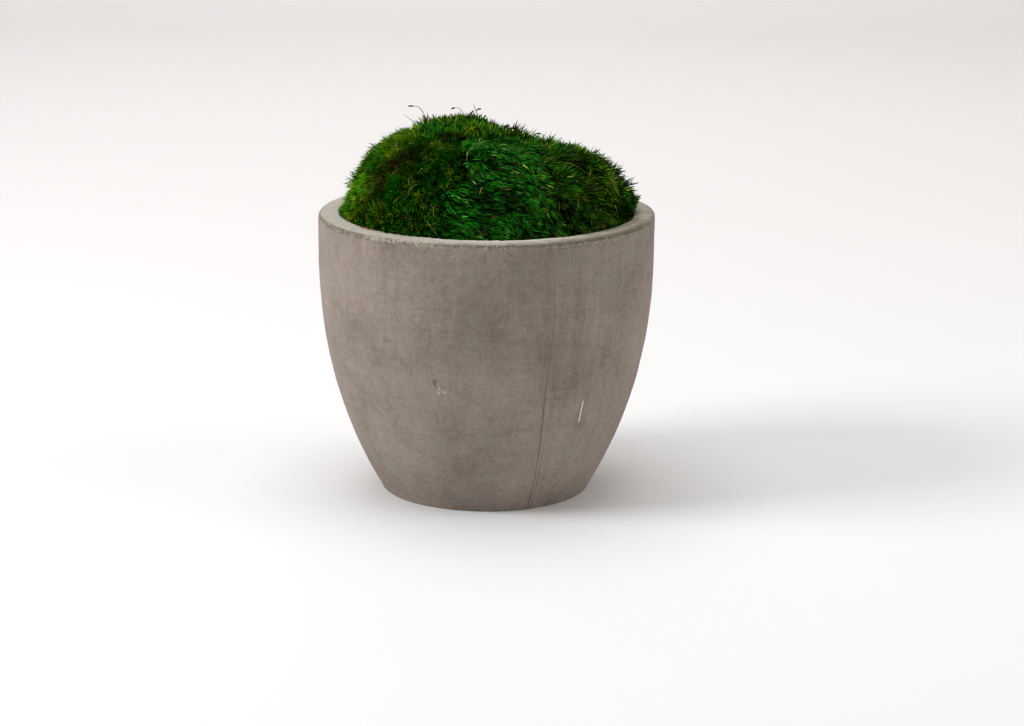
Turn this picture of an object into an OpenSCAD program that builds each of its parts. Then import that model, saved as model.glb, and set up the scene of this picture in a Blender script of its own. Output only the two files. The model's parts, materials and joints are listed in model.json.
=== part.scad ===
// A round bowl planter cast in concrete, planted with cushion moss.
// Millimetres. The origin is the middle of the foot, on the ground, with +Z up
// and the front of the planter towards -Y.
// Inside, a stack of cut foam discs carries a foam dome, and eight moss cushions
// tile the dome like a mosaic. Wire pins hold them. All of that lifts out as one.

/* [Bowl] */
// Outside diameter of the rim
bowl_d = 305; // [270:1:360]
// Height of the bowl, ground to rim
bowl_h = 256; // [230:1:300]
// Outside diameter at the ground
foot_d = 189; // [165:1:215]
// Depth of the upright band under the rim
upright_h = 25; // [10:1:45]
// Fullness of the belly curve, where 2 is a parabola
belly_fullness = 2.35; // [2:0.05:3]
// Thickness of the wall, measured level
wall = 19; // [15:0.5:24]
// Height of the inside floor above the ground
floor_h = 24; // [20:1:32]
// Radius between the inside floor and the wall
inside_fillet = 14; // [8:1:20]
// Rounding of the rim's outer edge
rim_round = 2.5; // [1:0.5:5]
// Rounding of the rim's inner edge
lip_round = 1.5; // [0.5:0.5:3]
// Rounding of the foot's outer edge
foot_round = 2; // [0.5:0.5:4]

/* [Underside] */
// Width of the ring that the bowl stands on
foot_ring_w = 24; // [16:1:36]
// Depth of the hollow inside that ring
hollow_depth = 6.5; // [6:0.5:9]

/* [Mould seams] */
// Width of the ridge left where the mould halves meet
seam_w = 2.4; // [1.5:0.1:5]
// Height of that ridge above the wall
seam_proud = 0.5; // [0.3:0.1:1]
// Turn of the first seam from the front, towards the right
seam_turn = 22.5; // [0:0.5:40]

/* [Drain] */
// Diameter of the drain hole
drain_d = 22; // [16:0.5:30]
// Play round the plug's sealing ribs, on the radius
plug_play = 0.08; // [0.05:0.01:0.1]
// Number of sealing ribs on the plug
plug_ribs = 3; // [2:1:4]
// Height of each sealing rib
plug_rib_h = 2.4; // [1.5:0.1:3]
// How far the ribs stand out of the plug's stem
plug_rib_out = 1.2; // [0.6:0.1:2]
// Width of the flange beyond the drain hole
plug_lip = 7; // [4:0.5:10]
// Thickness of the flange
plug_flange_t = 3.5; // [2.5:0.5:4]
// Space left above the plug, under the inside floor
plug_top_space = 1.5; // [0.5:0.5:3]

/* [Foam core] */
// Height of one foam disc's bed: the shelf's depth under the rim
shelf_depth = 32; // [26:1:40]
// Space between a disc's lower edge and the wall
core_gap = 3; // [2:0.5:6]
// Diameter of the foam dome at its foot
dome_d = 244; // [215:1:248]
// Height of the foam dome
dome_h = 70; // [55:1:80]

/* [Moss] */
// Height of the mound above the rim, without the crown's own rise
mound_h = 79; // [70:1:95]
// Fullness of the mound's shoulders, where 2 is an ellipse
mound_fullness = 3.4; // [2.4:0.1:4.5]
// How far the crown rises out of the mound
crown_rise = 8; // [0:1:14]
// Reach of the crown's rise
crown_reach = 32; // [20:1:45]
// How far the moss's outer edge dips under the rim
moss_tuck = 7; // [3:1:12]
// Space between the moss and the bowl's inside wall
moss_gap = 0.8; // [0.5:0.1:3]
// Width of the joint between two cushions
cushion_joint = 0.6; // [0.5:0.1:2]
// How far a cushion's edge rounds down
cushion_edge = 7; // [4:1:12]
// Height of the tufts on a cushion
tuft_h = 1.6; // [0:0.2:3]
// Length of one tuft
tuft_l = 21; // [14:1:30]
// Depth of the saddle right of the crown, as a share of the mound
saddle = 0.2; // [0:0.01:0.25]
// Where the saddle lies, right of the middle
saddle_x = 58; // [40:1:75]
// Half width of the saddle
saddle_w = 54; // [30:1:70]

/* [Pins] */
// Diameter of the pins' wire
pin_wire = 1.6; // [1.2:0.1:2.4]
// Distance between a pin's two legs
pin_span = 12; // [9:1:16]
// Length of a pin
pin_l = 50; // [44:1:60]
// How deep a pin bites into the foam dome
pin_bite = 25; // [15:1:30]
// Distance from the middle of a cushion to its pins
pin_offset = 15; // [12:1:18]

/* [Hidden] */

$fn = 96;
profile_steps = 26;                 // facets up the bowl's curved outside
round_steps = 5;                    // facets round a small edge
seat_gap = 0.3;                     // play where one body rests on another
dome_gap = 0.6;                     // play of the moss on the dome
disc_count = 4;                     // discs in the foam stack
cushion_sides = 36;                 // directions round a cushion
cushion_rings = 6;                  // rings from a cushion's middle to its edge
tuft_seed = 37;                     // turn of the second set of tufts, in degrees

rim_r = bowl_d / 2;
foot_r = foot_d / 2;
belly_top = bowl_h - upright_h;     // the wall is upright above this height
opening_r = rim_r - wall;
drain_r = drain_d / 2;

core_z = floor_h + seat_gap;        // underside of the lowest foam disc
shelf_z = bowl_h - shelf_depth;     // top of the foam stack
disc_t = (shelf_z - core_z) / disc_count;
dome_r = dome_d / 2;
dome_sphere_r = (dome_r * dome_r + dome_h * dome_h) / (2 * dome_h);
dome_centre_z = shelf_z + dome_h - dome_sphere_r;

moss_r = opening_r - moss_gap;
moss_seat_z = shelf_z + seat_gap;

// Middles of the cushions in plan, as they lie in the planting seen from above.
crown = [-24, 22];
left = [-106, -4];
front_left = [-64, -78];
front = [22, -76];
front_right = [92, -54];
right = [100, 28];
back_right = [46, 98];
back_left = [-48, 106];
cushions = [crown, left, front_left, front, front_right, right, back_right, back_left];

// ---------------------------------------------------------------- bowl

// Radius of the bowl's outside at height z: a power curve that swells from the foot
// and turns upright below the rim.
function outside_r(z) =
    rim_r - (rim_r - foot_r) * pow(max(0, 1 - z / belly_top), belly_fullness);

// How fast that radius grows with height, for the slope of the inside fillet.
function outside_slope(z) =
    (rim_r - foot_r) * belly_fullness / belly_top
    * pow(max(0, 1 - z / belly_top), belly_fullness - 1);

function inside_r(z) = outside_r(z) - wall;

// Points round an edge of radius r about centre c, from angle a to angle b.
function arc(c, r, a, b) =
    [for (i = [0:round_steps]) let (t = a + (b - a) * i / round_steps)
        c + r * [cos(t), sin(t)]];

module bowl_outline() {
    wall_angle = atan(1 / outside_slope(floor_h));
    fillet_end = wall_angle - 90;
    fillet_z = floor_h + inside_fillet * (1 + sin(fillet_end));
    fillet_c = [inside_r(fillet_z) - inside_fillet * cos(fillet_end),
                floor_h + inside_fillet];
    outer = [for (i = [1:profile_steps])
        let (z = foot_round + (bowl_h - rim_round - foot_round) * i / profile_steps)
        [outside_r(z), z]];
    inner = [for (i = [1:profile_steps])
        let (z = bowl_h - lip_round - (bowl_h - lip_round - fillet_z) * i / profile_steps)
        [inside_r(z), z]];
    polygon(concat(
        [[0, hollow_depth],
         [foot_r - foot_ring_w - hollow_depth, hollow_depth],
         [foot_r - foot_ring_w, 0]],
        arc([outside_r(foot_round) - foot_round, foot_round], foot_round, -90, 0),
        outer,
        arc([rim_r - rim_round, bowl_h - rim_round], rim_round, 0, 90),
        arc([opening_r + lip_round, bowl_h - lip_round], lip_round, 90, 180),
        inner,
        arc(fillet_c, inside_fillet, fillet_end, -90),
        [[0, floor_h]]
    ));
}

// A strip of the wall that stands proud of it, from the foot's rounding to the rim's.
module seam_ridge() {
    turn = 360 * seam_w / (PI * bowl_d);
    top = bowl_h - rim_round;
    rise = [for (i = [0:profile_steps])
        let (z = foot_round + (top - foot_round) * i / profile_steps)
        [outside_r(z) + seam_proud, z]];
    sunk = [for (i = [0:profile_steps])
        let (z = top - (top - foot_round) * i / profile_steps)
        [outside_r(z) - wall / 3, z]];
    rotate([0, 0, -90 + seam_turn - turn / 2])
        rotate_extrude(angle = turn)
            polygon(concat(rise, sunk));
}

module bowl() {
    color([0.53, 0.48, 0.44])
    difference() {
        union() {
            rotate_extrude() bowl_outline();
            for (half = [0, 180]) rotate([0, 0, half]) seam_ridge();
        }
        translate([0, 0, hollow_depth - 1])
            cylinder(h = floor_h - hollow_depth + 2, r = drain_r);
    }
}

// ---------------------------------------------------------- drain plug

module drain_plug() {
    flange_top = hollow_depth - seat_gap;
    stem_top = floor_h - plug_top_space;
    stem_r = drain_r - plug_play - plug_rib_out;
    rib_step = (stem_top - flange_top) / plug_ribs;
    color([0.10, 0.10, 0.11])
    union() {
        translate([0, 0, flange_top - plug_flange_t])
            cylinder(h = plug_flange_t, r1 = drain_r + plug_lip - 1, r2 = drain_r + plug_lip);
        translate([0, 0, flange_top - 0.1])
            cylinder(h = stem_top - flange_top + 0.1, r = stem_r);
        for (i = [0:plug_ribs - 1])
            translate([0, 0, flange_top + seat_gap + rib_step * i])
                cylinder(h = plug_rib_h, r1 = drain_r - plug_play, r2 = stem_r);
    }
}

// ----------------------------------------------------------- foam core

// Disc i of the stack, counted from the bottom. Each is cut straight from a sheet, so
// its lower edge is what clears the sloping wall. The lowest also clears the fillet.
module foam_disc(i) {
    low = core_z + disc_t * i;
    r = inside_r(low) - core_gap;
    bevel = i == 0 ? inside_fillet : 0;
    color([0.55, 0.66, 0.52])
    translate([0, 0, low])
    union() {
        if (bevel > 0) cylinder(h = bevel, r1 = r - bevel, r2 = r);
        translate([0, 0, bevel]) cylinder(h = disc_t - bevel, r = r);
    }
}

module foam_dome() {
    color([0.55, 0.66, 0.52])
    intersection() {
        translate([0, 0, dome_centre_z]) sphere(r = dome_sphere_r);
        translate([0, 0, shelf_z]) cylinder(h = dome_h + 1, r = dome_r + 1);
    }
}

// --------------------------------------------------------------- moss

// Height of the whole mound at a place in plan: a full-shouldered dome that starts a
// little under the rim, with a rise at the crown, a saddle to its right, and tufts.
function mound_z(p) =
    let (share = min(1, norm(p) / moss_r),
         shoulder = pow(1 - pow(share, mound_fullness), 0.6),
         dip = saddle * exp(-pow((p.x - saddle_x) / saddle_w, 2)),
         rise = crown_rise * exp(-pow(norm(p - crown) / crown_reach, 2)))
    bowl_h - moss_tuck
    + ((mound_h + moss_tuck) * (1 - dip) + rise + tufts(p)) * shoulder;

// Two waves that cross, which give lumps about as long as a tuft.
function tufts(p) =
    let (q = [p.x * cos(tuft_seed) - p.y * sin(tuft_seed),
              p.x * sin(tuft_seed) + p.y * cos(tuft_seed)])
    tuft_h * (sin(360 * p.x / tuft_l) * cos(360 * p.y / tuft_l)
            + sin(360 * q.x / tuft_l * 0.6) * cos(360 * q.y / tuft_l * 0.7)) / 2;

// Height of what the moss lies on: the dome, or the shelf round its foot.
function bed_z(p) =
    let (reach = dome_sphere_r + dome_gap,
         inside = reach * reach - p * p)
    max(moss_seat_z, inside > 0 ? dome_centre_z + sqrt(inside) : moss_seat_z);

// How far the cushion at c reaches in direction d: to the joint with the nearest
// neighbour, which lies half way to it, or to the ring just inside the bowl's wall.
function reach_of(c, d) =
    min(concat(
        [for (other = cushions) let (away = other - c, l = norm(away), lean = d * away / max(l, 0.001))
            if (l > 0.001 && lean > 0.05) (l / 2 - cushion_joint / 2) / lean],
        [let (b = c * d) -b + sqrt(b * b + moss_r * moss_r - c * c)]
    ));

// Share of the way from a cushion's middle to its edge for ring j. The rings crowd
// towards the edge, where the cushion turns down.
function ring_share(j) = 1 - pow(1 - j / cushion_rings, 1.5);

module moss_cushion(c) {
    n = cushion_sides;
    m = cushion_rings;
    spokes = [for (k = [0:n - 1]) let (d = [cos(360 * k / n), sin(360 * k / n)]) d * reach_of(c, d)];
    plan = [for (j = [1:m]) for (s = spokes) c + s * ring_share(j)];
    top = [for (i = [0:n * m - 1])
        let (p = plan[i], share = ring_share(1 + floor(i / n)))
        [p.x, p.y, mound_z(p) - cushion_edge * pow(share, 5)]];
    bed = [for (p = plan) [p.x, p.y, bed_z(p)]];
    points = concat(top, bed,
        [[c.x, c.y, mound_z(c)]], [[c.x, c.y, bed_z(c)]]);
    under = n * m;                  // index of the first point of the bed
    peak = 2 * n * m;               // index of the top's middle
    pit = peak + 1;                 // index of the bed's middle
    faces = concat(
        [for (k = [0:n - 1]) [peak, (k + 1) % n, k]],
        [for (k = [0:n - 1]) [pit, under + k, under + (k + 1) % n]],
        [for (j = [0:m - 2]) for (k = [0:n - 1])
            let (a = j * n + k, b = j * n + (k + 1) % n)
            each [[a, b, a + n], [b, b + n, a + n]]],
        [for (j = [0:m - 2]) for (k = [0:n - 1])
            let (a = under + j * n + k, b = under + j * n + (k + 1) % n)
            each [[a, a + n, b], [b, a + n, b + n]]],
        [for (k = [0:n - 1])
            let (a = (m - 1) * n + k, b = (m - 1) * n + (k + 1) % n)
            each [[a, b, a + under], [b, b + under, a + under]]]
    );
    color([0.13, 0.24, 0.05]) polyhedron(points, faces, convexity = 4);
}

// --------------------------------------------------------------- pins

// One U of wire, legs down, with its tips at z = 0.
module pin() {
    leg = pin_l - pin_span / 2;
    for (side = [-1, 1])
        translate([side * pin_span / 2, 0, 0]) cylinder(h = leg, d = pin_wire, $fn = 24);
    translate([0, 0, leg]) rotate([90, 0, 0])
        rotate_extrude(angle = 180, $fn = 48) translate([pin_span / 2, 0]) circle(d = pin_wire, $fn = 24);
}

// Two pins in each cushion, pushed in square to the dome, a little inwards of its middle.
module greening_pins() {
    inwards = 0.84;
    color([0.45, 0.46, 0.44])
    for (c = cushions) {
        along = [-c.y, c.x] / norm(c);
        for (side = [-1, 1]) {
            p = c * inwards + along * side * pin_offset;
            tilt = asin(norm(p) / dome_sphere_r);
            translate([0, 0, dome_centre_z])
                rotate([0, tilt, atan2(p.y, p.x)])
                    translate([0, 0, dome_sphere_r - pin_bite])
                        rotate([0, 0, 90]) pin();
        }
    }
}

bowl();
drain_plug();
foam_disc(0);  // foam_disc_1
foam_disc(1);  // foam_disc_2
foam_disc(2);  // foam_disc_3
foam_disc(3);  // foam_disc_4
foam_dome();
moss_cushion(crown);  // moss_crown
moss_cushion(left);  // moss_left
moss_cushion(front_left);  // moss_front_left
moss_cushion(front);  // moss_front
moss_cushion(front_right);  // moss_front_right
moss_cushion(right);  // moss_right
moss_cushion(back_right);  // moss_back_right
moss_cushion(back_left);  // moss_back_left
greening_pins();
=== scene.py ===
# %% [markdown]
# # A concrete bowl planter with a mound of moss
#
# The planter's construction comes packed, in metres, with +Z up and its front towards -Y.
# This script gives it its looks: a cast concrete bowl with its seams, chips and air holes,
# and eight cushions of moss, each of them thousands of narrow leaves on short shoots.

# %% The frame and its box
import json
import math
from collections import namedtuple

import bpy
import numpy as np
from mathutils import Matrix, Vector

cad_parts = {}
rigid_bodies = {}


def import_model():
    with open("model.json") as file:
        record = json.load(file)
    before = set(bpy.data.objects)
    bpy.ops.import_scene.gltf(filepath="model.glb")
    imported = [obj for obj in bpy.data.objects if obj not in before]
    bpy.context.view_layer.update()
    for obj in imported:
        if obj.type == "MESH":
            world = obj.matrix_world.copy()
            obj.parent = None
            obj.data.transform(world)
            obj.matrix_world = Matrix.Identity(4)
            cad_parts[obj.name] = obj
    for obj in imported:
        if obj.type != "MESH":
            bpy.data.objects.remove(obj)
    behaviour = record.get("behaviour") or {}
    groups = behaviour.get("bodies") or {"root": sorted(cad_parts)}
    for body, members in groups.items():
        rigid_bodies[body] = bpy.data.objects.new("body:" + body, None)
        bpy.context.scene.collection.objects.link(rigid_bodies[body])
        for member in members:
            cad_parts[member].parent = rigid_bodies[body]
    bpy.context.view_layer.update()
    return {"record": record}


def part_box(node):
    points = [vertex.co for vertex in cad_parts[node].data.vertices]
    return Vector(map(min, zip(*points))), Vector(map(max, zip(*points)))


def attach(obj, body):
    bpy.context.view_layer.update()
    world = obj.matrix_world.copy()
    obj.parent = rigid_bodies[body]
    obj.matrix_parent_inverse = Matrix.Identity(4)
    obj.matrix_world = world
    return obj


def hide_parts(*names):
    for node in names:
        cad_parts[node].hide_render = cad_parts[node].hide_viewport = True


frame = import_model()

# %% [markdown]
# ## Camera
#
# The photographer stood a couple of metres back with a long lens and looked down a little,
# so the rim is a narrow ellipse and the foot is barely rounder. The numbers below were
# fitted to the outline of the bowl. A slight roll leans the bowl's top to the right.

# %% Camera
LOOKS_AT = (0.0243, 0.0, 0.1137)   # the point at the middle of the picture
CAMERA_AWAY = 2.502                # from that point to the camera
CAMERA_DOWN = math.radians(14.15)  # how far the camera looks down
CAMERA_ROLL = math.radians(0.54)
CAMERA_LENS = 95.6                 # millimetres, on a sensor 36 mm wide


def place_camera():
    """The camera stands back from the point it looks at, along its own line of sight."""
    turn = Matrix.Rotation(math.pi / 2 - CAMERA_DOWN, 3, "X") @ Matrix.Rotation(CAMERA_ROLL, 3, "Z")
    lens = bpy.data.cameras.new("camera")
    lens.lens = CAMERA_LENS
    camera = bpy.data.objects.new("camera", lens)
    camera.rotation_euler = turn.to_euler()
    camera.location = Vector(LOOKS_AT) + turn.col[2] * CAMERA_AWAY
    bpy.context.scene.collection.objects.link(camera)
    bpy.context.scene.camera = camera
    return camera


camera = place_camera()
print("The camera stands at", [round(x, 3) for x in camera.location])

# %% [markdown]
# ## Shader maths in plain expressions
#
# A material in Blender is a graph of nodes. Written out node by node it is hard to read, so
# a small class wraps a node's output and lets ordinary sums be written with it: each
# operator adds the Math node that does it. Every other node comes from one method, `node`.

# %% Wires


def srgb(red, green, blue):
    """A colour as a screen shows it, 0 to 255, in the linear numbers that shaders take."""
    share = np.array([red, green, blue]) / 255
    linear = np.where(share <= 0.04045, share / 12.92, ((share + 0.055) / 1.055) ** 2.4)
    return (*linear.tolist(), 1.0)


class Wire:
    """One value that runs through a material. Sums with it add Math nodes."""

    def __init__(self, finish, socket):
        self.finish, self.socket = finish, socket

    def math(self, operation, *others):
        """A Math node with this value first and the others after it."""
        values = dict(enumerate((self, *others)))
        return self.finish.node("ShaderNodeMath", {"operation": operation}, values)

    def __add__(self, other):
        return self.math("ADD", other)

    def __mul__(self, other):
        return self.math("MULTIPLY", other)

    def __sub__(self, other):
        return self.math("SUBTRACT", other)

    def __truediv__(self, other):
        return self.math("DIVIDE", other)

    def __pow__(self, other):
        return self.math("POWER", other)

    __radd__, __rmul__ = __add__, __mul__   # the same either way round

    def __rsub__(self, other):
        return self.finish.node("ShaderNodeMath", {"operation": "SUBTRACT"}, {0: other, 1: self})

    def step(self, low, high, start=0.0, end=1.0):
        """Runs smoothly from start to end while this value goes from low to high."""
        return self.finish.node("ShaderNodeMapRange", {"interpolation_type": "SMOOTHSTEP"},
                                {0: self, 1: low, 2: high, 3: start, 4: end})

    def fall(self, low, high):
        """Runs smoothly from 1 to 0 while this value goes from low to high."""
        return self.step(low, high, 1.0, 0.0)

    def band(self, low, full, still_full, high):
        """Rises from 0 at low to 1 at full, and falls from 1 at still_full to 0 at high."""
        return self.step(low, full) * self.fall(still_full, high)


print("Half of full red on a screen is", round(srgb(128, 0, 0)[0], 2), "of it in a shader")

# %% Graphs and finishes


class Graph:
    """A tree of nodes, and the one method that adds nodes to it."""

    def __init__(self, tree):
        self.tree = tree

    def feed(self, node, inputs):
        """Sets each named or numbered input to a number, a colour or a wire."""
        for key, value in inputs.items():
            if isinstance(value, Wire):
                self.tree.links.new(value.socket, node.inputs[key])
            else:
                node.inputs[key].default_value = value

    def node(self, kind, settings, inputs, output=0):
        """Adds a node, gives it its settings, then its inputs, and returns one output."""
        node = self.tree.nodes.new(kind)
        for key, value in settings.items():
            if key == "stops":
                while len(node.color_ramp.elements) < len(value):
                    node.color_ramp.elements.new(1.0)
                for stop, (place, colour) in zip(node.color_ramp.elements, value):
                    stop.position, stop.color = place, colour
            else:
                setattr(node, key, value)
        self.feed(node, inputs)
        return Wire(self, node.outputs[output])


class Finish(Graph):
    """A material with one shader."""

    def __init__(self, name, **plain):
        self.material = bpy.data.materials.new(name)
        self.material.use_nodes = True
        super().__init__(self.material.node_tree)
        self.tree.nodes.clear()
        self.shader = self.tree.nodes.new("ShaderNodeBsdfPrincipled")
        for socket, value in plain.items():
            self.shader.inputs[socket.replace("_", " ")].default_value = value
        out = self.tree.nodes.new("ShaderNodeOutputMaterial")
        self.tree.links.new(self.shader.outputs[0], out.inputs[0])

    def place(self):
        """Where the surface is, in metres from the bowl's foot."""
        return self.node("ShaderNodeTexCoord", {}, {}, "Object")

    def split(self, vector):
        """The X, Y and Z of a vector."""
        parts = self.node("ShaderNodeSeparateXYZ", {}, {0: vector}).socket.node
        return [Wire(self, out) for out in parts.outputs]

    def stretch(self, vector, by):
        """The vector with its X, Y and Z each multiplied."""
        return self.node("ShaderNodeVectorMath", {"operation": "MULTIPLY"}, {0: vector, 1: by})

    def clouds(self, size, detail=2.0, where=None, roughness=0.5):
        """Noise about 0.5, with patches about so many metres wide."""
        return self.node("ShaderNodeTexNoise", {}, {"Vector": where or self.place(), "Scale": 1 / size,
                                                    "Detail": detail, "Roughness": roughness})

    def cells(self, size, randomness=1.0, feature="F1", output=0):
        """Cells about so many metres wide. The first output is the distance to the nearest
        cell's middle, or to the cell's edge."""
        return self.node("ShaderNodeTexVoronoi", {"feature": feature},
                         {"Vector": self.place(), "Scale": 1 / size, "Randomness": randomness}, output)

    def blend(self, share, low, high, how="MIX"):
        """Goes from the colour low to the colour high."""
        return self.node("ShaderNodeMix", {"data_type": "RGBA", "blend_type": how},
                         {0: share, 6: low, 7: high}, 2)

    def relief(self, height, depth):
        """Bumps: height runs from 0 to 1 and stands for so many metres."""
        return self.node("ShaderNodeBump", {}, {"Height": height, "Distance": depth})

    def wear(self, **inputs):
        """Links wires to the shader's own sockets."""
        self.feed(self.shader, {key.replace("_", " "): value for key, value in inputs.items()})
        return self.material


print("Helpers for materials are ready")

# %% [markdown]
# ## Stage and light
#
# The bowl stands on a pale sweep of paper: a floor that curves up into a wall far behind, so
# there is no horizon. A broad soft lamp on the left does most of the work, and the pale
# surroundings fill in the rest, which leaves a faint shadow to the right.

# %% Meshes from arrays


def piece_of(name, points, faces, smooth=True, maps=None):
    """A mesh object from an array of points in metres and an array of faces, all with the
    same number of corners. maps holds a pair of map coordinates for each corner."""
    mesh = bpy.data.meshes.new(name)
    corners = faces.shape[1]
    mesh.vertices.add(len(points))
    mesh.loops.add(faces.size)
    mesh.polygons.add(len(faces))
    mesh.vertices.foreach_set("co", np.ascontiguousarray(points, np.float32).ravel())
    mesh.loops.foreach_set("vertex_index", np.ascontiguousarray(faces, np.int32).ravel())
    mesh.polygons.foreach_set("loop_start", np.arange(0, faces.size, corners, dtype=np.int32))
    smooth = np.broadcast_to(smooth, len(faces))
    mesh.polygons.foreach_set("use_smooth", np.ascontiguousarray(smooth, bool))
    if maps is not None:
        layer = mesh.uv_layers.new(name="OFBake")
        layer.uv.foreach_set("vector", np.ascontiguousarray(maps, np.float32).ravel())
    mesh.update(calc_edges=True)
    piece = bpy.data.objects.new(name, mesh)
    bpy.context.scene.collection.objects.link(piece)
    return piece


def grid_faces(rows, columns, closed_columns=False, closed_rows=False):
    """Four-cornered faces between the points of a grid that is stored row by row. A closed
    grid also joins its last column, or row, to its first."""
    row = np.arange(rows if closed_rows else rows - 1)[:, None]
    column = np.arange(columns if closed_columns else columns - 1)[None, :]
    next_row, next_column = (row + 1) % rows, (column + 1) % columns
    corners = [row * columns + column, row * columns + next_column,
               next_row * columns + next_column, next_row * columns + column]
    return np.stack([np.broadcast_to(c, np.broadcast_shapes(row.shape, column.shape)) for c in corners],
                    -1).reshape(-1, 4)


def closed_tube_faces(rows, sides):
    """Triangles over a grid of rings, closed by a fan at each end. The two points at the
    middles of the ends come after the grid's."""
    quads = grid_faces(rows, sides, True)[:, ::-1]
    first, last = np.arange(sides), np.arange(sides) + (rows - 1) * sides
    start_fan = np.stack([np.full(sides, rows * sides), first, np.roll(first, -1)], -1)
    end_fan = np.stack([np.full(sides, rows * sides + 1), np.roll(last, -1), last], -1)
    return np.concatenate([quads[:, [0, 1, 2]], quads[:, [0, 2, 3]], start_fan, end_fan])


print("A tube of 3 rings of 4 points has", len(closed_tube_faces(3, 4)), "triangles")

# %% Stage

FLOOR_FRONT, FLOOR_BACK = -4.0, 3.4   # metres from the bowl along Y
SWEEP_RADIUS, WALL_TOP = 1.2, 5.0
STAGE_SIDE = 5.0
WALL_COLOUR = srgb(229, 228, 226)


def paper_sweep():
    """A strip of paper seen from its end is a line, a quarter circle and a line. It is
    carried sideways."""
    bend = np.linspace(-math.pi / 2, 0, 25)
    line_y = np.concatenate([[FLOOR_FRONT], FLOOR_BACK + SWEEP_RADIUS * np.cos(bend)])
    line_z = np.concatenate([[0], SWEEP_RADIUS * (1 + np.sin(bend)), [WALL_TOP]])
    line_y = np.append(line_y, line_y[-1])
    side = np.array([-STAGE_SIDE, STAGE_SIDE])
    points = np.stack(np.broadcast_arrays(side, line_y[:, None], line_z[:, None]), -1)
    return piece_of("paper_sweep", points.reshape(-1, 3), grid_faces(len(line_y), 2))


# Metres from the bowl over which the paper darkens behind it, and over which it turns into
# the wall's colour at each side and in front.
PAPER_DARKENS, ENDS_ASIDE, ENDS_IN_FRONT = (-0.5, 1.6), (1.5, 3.0), (1.9, 3.4)


def paper_finish():
    """Matt paper, paler in front of the bowl than behind it. Far to the sides and the front
    the camera sees it as the same pale wall that stands round the room."""
    paper = Finish("paper", Roughness=0.9, Emission_Strength=1.0)
    across, along, _ = paper.split(paper.place())
    colour = paper.blend(along.step(*PAPER_DARKENS), srgb(240, 240, 240), srgb(230, 227, 226))
    far = across.math("ABSOLUTE").step(*ENDS_ASIDE).math("MAXIMUM", (0 - along).step(*ENDS_IN_FRONT))
    seen = paper.node("ShaderNodeLightPath", {}, {}, "Is Camera Ray") * far
    black = (0, 0, 0, 1)
    return paper.wear(Base_Color=paper.blend(seen, colour, black),
                      Emission_Color=paper.blend(seen, black, WALL_COLOUR))


sweep = paper_sweep()
sweep.data.materials.append(paper_finish())
print("The paper has", len(sweep.data.polygons), "faces")

# %% Lamps

ROOM_TINT, ROOM_GLOW = (1.0, 0.99, 0.98, 1), 0.33   # the even light that comes from all round


def soft_lamp(name, at, looks_at, size, power, tint=(1, 1, 1)):
    """A square lamp that faces a point."""
    light = bpy.data.lights.new(name, "AREA")
    light.size, light.energy, light.color = size, power, tint
    lamp = bpy.data.objects.new(name, light)
    lamp.location = at
    lamp.rotation_euler = (Vector(at) - Vector(looks_at)).to_track_quat("Z", "Y").to_euler()
    bpy.context.scene.collection.objects.link(lamp)


def light_room():
    """The room's even light, which the camera sees as a pale wall."""
    world = bpy.data.worlds.new("room")
    bpy.context.scene.world = world
    world.use_nodes = True
    room = Graph(world.node_tree)
    seen = room.node("ShaderNodeLightPath", {}, {}, "Is Camera Ray")
    glow = room.node("ShaderNodeBackground", {}, {"Color": ROOM_TINT, "Strength": ROOM_GLOW})
    wall = room.node("ShaderNodeBackground", {}, {"Color": WALL_COLOUR, "Strength": 1.0})
    both = room.node("ShaderNodeMixShader", {}, {0: seen, 1: glow, 2: wall})
    room.feed(room.tree.nodes["World Output"], {"Surface": both})
    bpy.context.scene.view_settings.view_transform = "Standard"


light_room()
soft_lamp("key", (-3.5, -1.0, 2.3), (0, 0, 0.15), 1.7, 118, (0.99, 1.0, 1.015))
soft_lamp("overhead", (-0.3, 0.1, 3.4), (0, 0, 0.2), 2.4, 46)
soft_lamp("fill", (3.4, -0.4, 1.4), (0, 0, 0.15), 2.4, 38, (1.0, 0.99, 0.97))
soft_lamp("backdrop", (0, 2.0, 3.6), (0, 4.6, 1.6), 2.6, 56)
print("Lamps and paper are in place")

# %% [markdown]
# ## The bowl
#
# A bowl like this is cast upside down in a two-part mould. What comes out is one shape
# turned about an axis, so it is worked out as a profile carried round: out over the
# underside, round the foot, up the belly, over the rim, down the inside and back through the
# drain hole. The casting's faults are small moves of that surface: a fin and a groove where
# the mould's halves met, a rim that lost grains when it was struck off, and a slow waviness.

# %% Sizes of the bowl, in millimetres

MM = 0.001
low_corner, high_corner = np.array(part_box("bowl")) / MM
RIM_R = (high_corner[0] - low_corner[0]) / 2
BOWL_H = high_corner[2]
FOOT_R = 94.5
UPRIGHT_BAND = 25.0                          # under the rim
BELLY_TOP = BOWL_H - UPRIGHT_BAND
FULLNESS = 2.35                              # the power in the belly's curve
WALL = 19.0
OPENING_R = RIM_R - WALL
FLOOR_Z, FILLET = 24.0, 14.0                 # the floor inside, and the round up to the wall
FOOT_RING, HOLLOW = 24.0, 6.5                # the ring's width, and the hollow's height in it
DRAIN_R = 11.0
RIM_ROUND, LIP_ROUND, FOOT_ROUND = 1.8, 1.5, 2.0
RIM_ZONE, ROW_GAP = 20.0, 1.2                # the height below the rim where rows are close
COLUMNS = 620                                # directions round the bowl
SEAM_SPAN, SEAM_COLUMNS = (-2.4, 5.0), 38    # degrees beside a seam where columns are close

SEAM_AZIMUTH = math.radians(22.8 - 90)       # to the right of the front
SEAM_START = 2.6                             # at the foot, to the right of that direction
# How much further to the right the seam strays between two heights.
SEAM_STRAYS = [(-4.2, 0.0, 120.0), (3.4, 122.0, 190.0)]
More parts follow.
